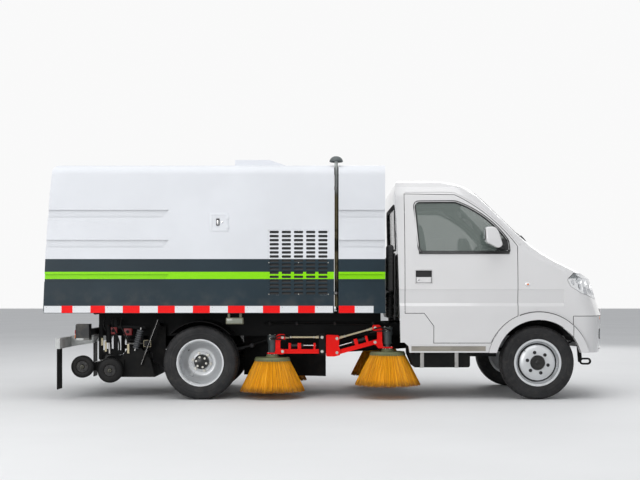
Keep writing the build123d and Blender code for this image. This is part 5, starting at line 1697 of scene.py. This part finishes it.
class SWEEPER_OT_screens(bpy.types.Operator):
    """Fit the windscreen and rear window seals and the wipers"""

    bl_idname = "sweeper.screens"
    bl_label = "Screens and wipers"

    def execute(self, context):
        bm = bmesh.new()
        front = rounded(((-0.672, 1.372), (0.672, 1.372), (0.59, 1.8), (-0.59, 1.8)), 0.06, 6)
        dense = []
        for first, second in zip(front, front[1:] + front[:1]):
            parts = max(1, int((second - first).length / 0.06))
            dense += [first.lerp(second, i / parts) for i in range(parts)]
        banded(bm, dense, -0.014, 0.008, 0.0025, face_skin(("cab_glass", "cab_shell"), 3.0, -1, 1.0))
        back = rounded(((-0.52, 1.3), (0.52, 1.3), (0.5, 1.69), (-0.5, 1.69)), 0.06, 6)
        banded(bm, back, -0.012, 0.012, 0.006, face_skin(("cab_glass", "cab_shell"), 0.505, 1, 0.7))
        piece("screen_seals", bm, "seal_rubber", "chassis", sharp=40, outward=True)

        bm = bmesh.new()
        place = face_skin(("cab_glass", "cab_shell", "bonnet"), 3.0, -1, 1.0)
        for root, y0, y1 in ((-0.06, -0.1, -0.6), (0.42, 0.44, -0.04)):
            traced(bm, row((y0, 1.398), (y1, 1.428), 12), place, 0.008, 0.014)
            spots = []
            for y, z, high in ((root, 1.356, 0.018), (root - 0.08, 1.372, 0.03), ((y0 + y1) / 2, 1.413, 0.022)):
                spot, normal = place(y, z)
                spots.append(spot + normal * high)
            tube(bm, spots, 0.0055)
            spot, normal = place(root, 1.352)
            drum(bm, spot - normal * 0.004, spot + normal * 0.024, 0.016, segments=24, bevel=0.003)
        piece("wipers", bm, "trim_black", "chassis", sharp=38, outward=True)
        return {"FINISHED"}


class SWEEPER_OT_sills(bpy.types.Operator):
    """Fit the sill covers, arch lines, a black ribbed sheet painted as the shade on the cab's back wall, and the air
    intake
    """

    bl_idname = "sweeper.sills"
    bl_label = "Sills and cab back"

    def execute(self, context):
        for hand, side in HANDS:
            place = skin(("cab_shell", f"door_{side}"), hand)
            bm = bmesh.new()
            end = FRONT_AXLE[0] - 0.452
            for z, width, lift, slot in ((0.44, 0.04, 0.0022, 1), (0.4705, 0.011, 0.006, 0), (0.413, 0.01, 0.006, 0)):
                traced(bm, row((0.68, z), (end, z), 12), place, width, lift, slot=slot)
            # Dark line round the arch flare
            line = [Vector((FRONT_AXLE.x + 0.4385 * math.cos(a), FRONT_AXLE.z + 0.4385 * math.sin(a)))
                    for a in map(math.radians, range(16, 148, 3))]
            wing = skin(("cab_shell", "front_bumper"), hand)
            traced(bm, [p for p in line if p.x > 1.594], wing, 0.007, 0.0012, slot=2)
            piece(f"sill_trim_{side}", bm, ("cab_paint", "sill_grey", "seal_rubber"), "chassis", sharp=40,
                  outward=True)
        bm = bmesh.new()
        # A black ribbed sheet over the cab's back wall, painted as the shade between the cab and the body
        slab(bm, (0.536, -0.735, 0.682), (0.548, 0.735, 1.262), bevel=0.004)
        for k in range(7):
            z = 0.7 + 0.085 * k
            slab(bm, (0.529, -0.715, z), (0.538, 0.715, z + 0.03), bevel=0.004)
        # Air intake snorkel with its louvred mouth and folded hose
        slab(bm, (0.474, -0.735, 0.93), (0.534, -0.575, 1.33), bevel=0.018, segments=4)
        for k in range(6):
            slab(bm, (0.486, -0.742, 1.12 + 0.03 * k), (0.524, -0.733, 1.134 + 0.03 * k), bevel=0.002)
        hose = [(0.92, 0.03)]
        for k in range(9):
            z = 0.91 - 0.022 * k
            hose += [(z, 0.031), (z - 0.007, 0.037), (z - 0.015, 0.031)]
        hose += [(0.706, 0.03), (0.706, 0.024), (0.92, 0.024)]
        spun(bm, hose, (0.504, -0.655, 0), "Z", 40, slot=1)
        piece("cab_back_shade_and_intake", bm, ("trim_black", "hose_rubber"), "chassis", sharp=38)
        return {"FINISHED"}


# Cabin: stuffed seats, dashboard and steering wheel


def seat_parts():
    """Splits the CAD seats into their cushions and backs."""
    bm = copied("seats")
    left = dict.fromkeys(bm.verts)
    parts = []
    while left:
        stack, copies, part = [next(iter(left))], {}, bmesh.new()
        del left[stack[0]]
        while stack:
            vert = stack.pop()
            copies[vert] = part.verts.new(vert.co)
            for edge in vert.link_edges:
                other = edge.other_vert(vert)
                if other in left:
                    del left[other]
                    stack.append(other)
        for face in faces_of(copies):
            part.faces.new([copies[vert] for vert in face.verts])
        parts.append(part)
    bm.free()
    return parts


STUFFING, SWELL = 4.0, 0.01


def stuffed(name, bm):
    """Lets a closed form swell like a stuffed cushion, and holds it near its own shape."""
    made = linked(name, meshed(name, bm))
    scene = bpy.context.scene
    for other in bpy.context.selected_objects:
        other.select_set(False)
    made.select_set(True)
    bpy.context.view_layer.objects.active = made
    remesh = made.modifiers.new("even_mesh", "REMESH")
    remesh.mode = "VOXEL"
    remesh.voxel_size = 0.009
    bpy.ops.object.modifier_apply(modifier=remesh.name)
    before = [v.co.copy() for v in made.data.vertices]
    cloth = made.modifiers.new("stuffing", "CLOTH")
    settings = cloth.settings
    settings.quality = 5
    settings.use_pressure = True
    settings.uniform_pressure_force = STUFFING
    settings.effector_weights.gravity = 0.0
    settings.tension_stiffness = 18.0
    settings.compression_stiffness = 18.0
    settings.bending_stiffness = 0.8
    settings.mass = 0.35
    cloth.point_cache.frame_start = 1
    cloth.point_cache.frame_end = 20
    for moment in range(1, 21):
        scene.frame_set(moment)
    bpy.ops.object.modifier_apply(modifier=cloth.name)
    scene.frame_set(1)
    for vert, place in zip(made.data.vertices, before):
        move = vert.co - place
        if move.length > SWELL:
            vert.co = place + move.normalized() * SWELL
    finish = bmesh.new()
    finish.from_mesh(made.data)
    bpy.data.objects.remove(made)
    return finish


class SWEEPER_OT_seats(bpy.types.Operator):
    """Stuff the seats, and press stitched flutes across them"""

    bl_idname = "sweeper.seats"
    bl_label = "Seats"

    def execute(self, context):
        for order, part in enumerate(seat_parts()):
            soft = stuffed(f"seat_part_{order}", part)
            # Stitched flutes across the cushion or back
            for vert in soft.verts:
                wave = math.cos(vert.co.y * math.tau / 0.085)
                top = max(0.0, vert.normal.z, -vert.normal.x)
                vert.co -= vert.normal * 0.0035 * top * max(0.0, wave) ** 6
            made = piece(f"seat_{order}", soft, "seat_cloth", "chassis", ("seats",), sharp=70)
            finer = made.modifiers.new("smooth_cloth", "SUBSURF")
            finer.levels = 1
            finer.render_levels = 1
        return {"FINISHED"}


WHEEL_SPOT, WHEEL_AXIS = Vector((1.37, 0.0, 1.23)), Vector((-0.86, 0.0, 0.51)).normalized()


class SWEEPER_OT_wheel_and_dash(bpy.types.Operator):
    """Make the round-rimmed steering wheel and the dashboard's dials, vents, radio face and knobs"""

    bl_idname = "sweeper.wheel_and_dash"
    bl_label = "Steering wheel and dashboard"

    def execute(self, context):
        low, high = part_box("steering_wheel")
        y = (low[1] + high[1]) / 2
        start = WHEEL_SPOT + Vector((0, y, 0))
        bm = bmesh.new()
        spun(bm, [(b, 0.1715 + a) for a, b in circle(0.0125, 12)], (0, 0, 0), "Z", 56)
        pad = [(-0.012, 0.0), (-0.012, 0.04), (0.004, 0.048), (0.01, 0.04), (0.013, 0.015), (0.013, 0.0)]
        spun(bm, pad, (0, 0, 0), "Z", 36)
        for angle in (0, 145, 215):
            spoke = Matrix.Rotation(math.radians(angle + 90), 4, "Z")
            slab(bm, (0.04, -0.014, -0.006), (0.164, 0.014, 0.004), bevel=0.004, segments=3, matrix=spoke)
        bmesh.ops.transform(bm, matrix=facing(start + WHEEL_AXIS * 0.011, WHEEL_AXIS), verts=bm.verts[:])
        drum(bm, start, start - WHEEL_AXIS * 0.125, 0.0175, segments=24, bevel=0.002)
        piece("steering_wheel_rim", bm, "trim_black", "steering_wheel", ("steering_wheel",), sharp=40)

        bm = bmesh.new()
        # Dials under a hood, vents, and the radio face with its knobs, all on the dashboard's face
        slab(bm, (1.488, y - 0.15, 1.245), (1.56, y + 0.15, 1.282), bevel=0.012, segments=4)
        for dy, radius in ((-0.062, 0.044), (0.052, 0.05)):
            centre = Vector((1.497, y + dy, 1.214))
            drum(bm, centre + Vector((0.01, 0, 0)), centre - Vector((0.004, 0, 0)), radius, segments=36, bevel=0.002,
                 slot=1)
            for k in range(9):
                angle = math.radians(-120 + 30 * k)
                mark = Vector((0, radius * math.sin(angle), radius * math.cos(angle)))
                face = centre - Vector((0.0045, 0, 0))
                drum(bm, face + mark * 0.66, face + mark * 0.84, 0.0012, segments=6, slot=2)
        for dy in (-0.3, 0.3):
            for k in range(4):
                slab(bm, (1.478, dy * 2 - 0.05, 1.19 - 0.014 * k), (1.492, dy * 2 + 0.05, 1.198 - 0.014 * k),
                     bevel=0.002, slot=1)
        slab(bm, (1.476, -0.095, 1.12), (1.49, 0.095, 1.172), bevel=0.004, slot=1)
        for dy in (-0.075, 0.075):
            drum(bm, (1.478, dy, 1.146), (1.468, dy, 1.146), 0.011, segments=24, bevel=0.002, slot=1)
        piece("dashboard_dials", bm, ("cabin_grey", "trim_black", "white_paint"), "chassis", sharp=38)
        return {"FINISHED"}


# Underneath: springs, clamps, pipes, ducts and rear gear


def leaf_spring(bm, x, y, z, reach, leaves):
    """A stack of arched leaves under a rail, with its clamp bolts on the axle."""
    for leaf in range(leaves):
        share = 1.0 - leaf / (leaves + 1.0)
        rows = []
        for i in range(13):
            t = -1 + 2 * i / 12
            rows.append((x + reach * share * t, z - 0.011 * leaf + 0.045 * (share * t) ** 2))
        traced_bar(bm, rows, y, 0.03, 0.0045, 0)
    for dx in (-0.05, 0.05):
        for dy in (-0.036, 0.036):
            drum(bm, (x + dx, y + dy, z - 0.011 * leaves - 0.05), (x + dx, y + dy, z + 0.03), 0.006, segments=12,
                 slot=1)
    slab(bm, (x - 0.065, y - 0.046, z + 0.006), (x + 0.065, y + 0.046, z + 0.018), bevel=0.003)
    slab(bm, (x - 0.035, y - 0.034, z - 0.011 * leaves + 0.002), (x - 0.029, y + 0.034, z + 0.004), slot=1)


def traced_bar(bm, points, y, half, thick, slot):
    """A flat strip across Y that follows points in side view."""
    rows = [[bm.verts.new((px, y + dy, pz + dz)) for dy, dz in ((-half, -thick), (half, -thick), (half, thick),
                                                             (-half, thick))] for px, pz in points]
    faces = [bm.faces.new(rows[0]), bm.faces.new(rows[-1])]
    for first, second in zip(rows, rows[1:]):
        faces += [bm.faces.new((first[k], first[(k + 1) % 4], second[(k + 1) % 4], second[k])) for k in range(4)]
    bmesh.ops.recalc_face_normals(bm, faces=faces)
    fill(faces, slot)


def folded_hose(bm, start, end, radius, folds, slot=0):
    """A straight corrugated hose between two points."""
    start, end = Vector(start), Vector(end)
    line = end - start
    part = bmesh.new()
    pitch = line.length / folds
    profile = [(0.0, radius - 0.008), (0.0, radius)]
    for k in range(folds):
        profile += [(pitch * (k + 0.25), radius + 0.006), (pitch * (k + 0.75), radius + 0.006),
                    (pitch * (k + 0.92), radius - 0.004)]
    profile += [(line.length, radius), (line.length, radius - 0.008)]
    spun(part, profile, (0, 0, 0), "Z", 36, slot=slot)
    join(bm, part, facing(start, line))


class SWEEPER_OT_springs(bpy.types.Operator):
    """Hang the leaf springs, shock absorbers and axle clamps"""

    bl_idname = "sweeper.springs"
    bl_label = "Springs"

    def execute(self, context):
        bm = bmesh.new()
        for hand, _ in HANDS:
            leaf_spring(bm, REAR_AXLE.x, hand * 0.372, REAR_AXLE.z + 0.085, 0.42, 5)
            for k in (-1, 1):
                drum(bm, (REAR_AXLE.x + k * 0.42, hand * 0.335, REAR_AXLE.z + 0.13),
                     (REAR_AXLE.x + k * 0.42, hand * 0.409, REAR_AXLE.z + 0.13), 0.02, segments=20, bevel=0.003)
            drum(bm, (REAR_AXLE.x + 0.075, hand * 0.3, 0.335), (REAR_AXLE.x + 0.16, hand * 0.3, 0.56), 0.017,
                 segments=20, bevel=0.002, slot=1)
            drum(bm, (REAR_AXLE.x + 0.11, hand * 0.3, 0.43), (REAR_AXLE.x + 0.165, hand * 0.3, 0.575), 0.025,
                 segments=20, bevel=0.002)
        piece("suspension", bm, ("dark_casting", "plain_steel"), "chassis", sharp=35)
        return {"FINISHED"}


class SWEEPER_OT_rear_gear(bpy.types.Operator):
    """Fit the suction head's hoses, drag links and absorbers, and the guard's lamps"""

    bl_idname = "sweeper.rear_gear"
    bl_label = "Rear gear"

    def execute(self, context):
        bm = bmesh.new()
        for hand, _ in HANDS:
            folded_hose(bm, (-1.76, hand * 0.235, 0.452), (-1.76, hand * 0.235, 0.718), 0.094, 9)
            for z in (0.462, 0.708):
                drum(bm, (-1.76, hand * 0.235, z - 0.007), (-1.76, hand * 0.235, z + 0.007), 0.104, segments=40,
                     bevel=0.002, slot=1)
            folded_hose(bm, (-1.684, hand * 0.54, 0.592), (-1.728, hand * 0.54, 0.428), 0.022, 9, slot=3)
            drum(bm, (-1.678, hand * 0.54, 0.612), (-1.734, hand * 0.54, 0.408), 0.009, segments=14, slot=1)
            # Drag link from the frame to the head, with a bright steel strip painted as the highlight along its edge
            run = [(-1.535, 0.684), (-1.61, 0.488), (-1.684, 0.29)]
            traced_bar(bm, run, hand * 0.566, 0.006, 0.012, 2)
            traced_bar(bm, [(x + 0.011, z) for x, z in run], hand * 0.5735, 0.0015, 0.003, 1)
            # Lift frame between the head and the guard: posts, ram, cross link and valve blocks
            y = hand * 0.52
            for x, low, high in ((-2.035, 0.33, 0.64), (-1.905, 0.36, 0.69)):
                slab(bm, (x - 0.018, y - 0.015, low), (x + 0.018, y + 0.015, high), bevel=0.004, slot=2)
            slab(bm, (-2.045, y - 0.012, 0.372), (-1.84, y + 0.012, 0.412), bevel=0.004, slot=2)
            slab(bm, (-2.045, y - 0.012, 0.6), (-1.64, y + 0.012, 0.632), bevel=0.004, slot=2)
            drum(bm, (-1.968, hand * 0.545, 0.64), (-1.96, hand * 0.545, 0.48), 0.024, segments=24, bevel=0.003,
                 slot=2)
            drum(bm, (-1.96, hand * 0.545, 0.485), (-1.954, hand * 0.545, 0.385), 0.01, segments=18, slot=1)
            for x, z in ((-1.925, 0.585), (-1.795, 0.575)):
                slab(bm, (x - 0.036, y - 0.03, z - 0.032), (x + 0.036, y + 0.03, z + 0.032), bevel=0.006, slot=4)
                hex_bolt(bm, (x, y + hand * 0.03, z), (0, hand, 0), size=0.011, height=0.012, slot=2)
            for x, low, high in ((-2.022, 0.455, 0.52), (-1.99, 0.4, 0.492), (-1.792, 0.385, 0.468)):
                slab(bm, (x - 0.009, y + hand * 0.018 - 0.003, low), (x + 0.009, y + hand * 0.018 + 0.003, high),
                     bevel=0.0015, slot=5)
            slab(bm, (-1.655, hand * 0.548 - 0.004, 0.442), (-1.59, hand * 0.548 + 0.004, 0.502), bevel=0.003, slot=5)
            for k in range(3):
                x = -2.0 + 0.075 * k
                tube(bm, [(x, y, 0.7), (x - 0.02, y + hand * 0.02, 0.64), (x + 0.03, y + hand * 0.03, 0.56),
                          (x + 0.06, y + hand * 0.012, 0.47), (x + 0.05, y, 0.4)], 0.0075)
        finishes = ("hose_rubber", "plain_steel", "chassis_black", "grey_trim", "dark_red", "cream_paint")
        piece("suction_gear", bm, finishes, "chassis", sharp=35)

        bm = bmesh.new()
        for hand, _ in HANDS:
            y = hand * 0.745
            slab(bm, (-2.1985, y - 0.048, 0.52), (-2.1895, y + 0.048, 0.642), bevel=0.004)
            for low, high, slot in ((0.526, 0.562, 2), (0.563, 0.6, 1), (0.601, 0.636, 3)):
                slab(bm, (-2.206, y - 0.042, low + 0.001), (-2.1975, y + 0.042, high - 0.001), bevel=0.004,
                     segments=3, slot=slot)
            slab(bm, (-2.3745, hand * 0.7 - 0.055, 0.4645), (-2.3675, hand * 0.7 + 0.055, 0.5005), bevel=0.003,
                 slot=1)
        piece("rear_lamps", bm, ("trim_black", "lens_red", "lens_amber", "lens_clear"), "chassis", sharp=35)
        return {"FINISHED"}


class SWEEPER_OT_pipes(bpy.types.Operator):
    """Run the hydraulic and air pipes along the frame, with their clamps, hose tails and tank straps"""

    bl_idname = "sweeper.pipes"
    bl_label = "Pipes and engine"

    def execute(self, context):
        bm = bmesh.new()
        for k in range(4):
            y = -0.402 - 0.011 * k
            z = 0.65 - 0.012 * (k % 2)
            tube(bm, [(0.44, y, z), (0.1, y, z), (-0.3, y, z + 0.004), (-0.6, y, z)], 0.0048)
        for x in (0.36, 0.02, -0.32, -0.56):
            slab(bm, (x, -0.44, 0.63), (x + 0.02, -0.396, 0.66), bevel=0.003, slot=1)
        # Hose tails near the front brush brackets
        for k, (dy, sag) in enumerate(((-0.5, 0.03), (-0.53, 0.04), (-0.56, 0.02))):
            tube(bm, [(0.64, dy, 0.5), (0.69, dy - 0.02, 0.47 - sag), (0.78, dy - 0.03, 0.45 - sag),
                      (0.9, dy, 0.47), (0.96, dy + 0.02, 0.5)], 0.0085)
        piece("frame_pipes", bm, ("hose_rubber", "dark_casting"), "chassis", sharp=40)

        low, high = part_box("fuel_tank")
        bm = bmesh.new()
        for share in (0.22, 0.78):
            x = low[0] + (high[0] - low[0]) * share
            slab(bm, (x - 0.016, low[1] - 0.0025, low[2] - 0.0025), (x + 0.016, high[1] + 0.0025, high[2] + 0.0025),
                 bevel=0.002)
            for y in (low[1] - 0.002, high[1] + 0.002):
                way = 1 if y > (low[1] + high[1]) / 2 else -1
                hex_bolt(bm, (x, y, high[2] - 0.03), (0, way, 0), size=0.008, height=0.008, slot=1)
        piece("tank_straps", bm, ("plain_steel", "bolt_zinc"), "chassis", sharp=35)
        return {"FINISHED"}


OPERATORS = (
    SWEEPER_OT_finishes,
    SWEEPER_OT_stage,
    SWEEPER_OT_tape,
    SWEEPER_OT_louvres,
    SWEEPER_OT_hatches,
    SWEEPER_OT_exhaust,
    SWEEPER_OT_rear_door,
    SWEEPER_OT_tyres,
    SWEEPER_OT_hubs,
    SWEEPER_OT_nozzle_wheels,
    SWEEPER_OT_brushes,
    SWEEPER_OT_heads,
    SWEEPER_OT_links,
    SWEEPER_OT_door_trim,
    SWEEPER_OT_mirrors,
    SWEEPER_OT_front,
    SWEEPER_OT_screens,
    SWEEPER_OT_sills,
    SWEEPER_OT_seats,
    SWEEPER_OT_wheel_and_dash,
    SWEEPER_OT_springs,
    SWEEPER_OT_rear_gear,
    SWEEPER_OT_pipes,
)


class SWEEPER_PT_panel(bpy.types.Panel):
    """Lists the truck's pieces in the sidebar"""

    bl_label = "Sweeper"
    bl_space_type = "VIEW_3D"
    bl_region_type = "UI"
    bl_category = "Sweeper"

    def draw(self, context):
        for group in (colours(), sizes()):
            for key in type(group).__annotations__:
                self.layout.prop(group, key)
        for entry in OPERATORS:
            self.layout.operator(entry.bl_idname)


CLASSES = (SWEEPER_PG_colours, SWEEPER_PG_sizes, *OPERATORS, SWEEPER_PT_panel)


def register():
    for entry in CLASSES:
        bpy.utils.register_class(entry)
    bpy.types.Scene.sweeper_colours = bpy.props.PointerProperty(type=SWEEPER_PG_colours)
    bpy.types.Scene.sweeper_sizes = bpy.props.PointerProperty(type=SWEEPER_PG_sizes)


def unregister():
    del bpy.types.Scene.sweeper_sizes
    del bpy.types.Scene.sweeper_colours
    for entry in reversed(CLASSES):
        bpy.utils.unregister_class(entry)


def main():
    """Makes every piece in order."""
    register()
    for entry in OPERATORS:
        group, action = entry.bl_idname.split(".")
        getattr(getattr(bpy.ops, group), action)()


if __name__ == "__main__":
    main()
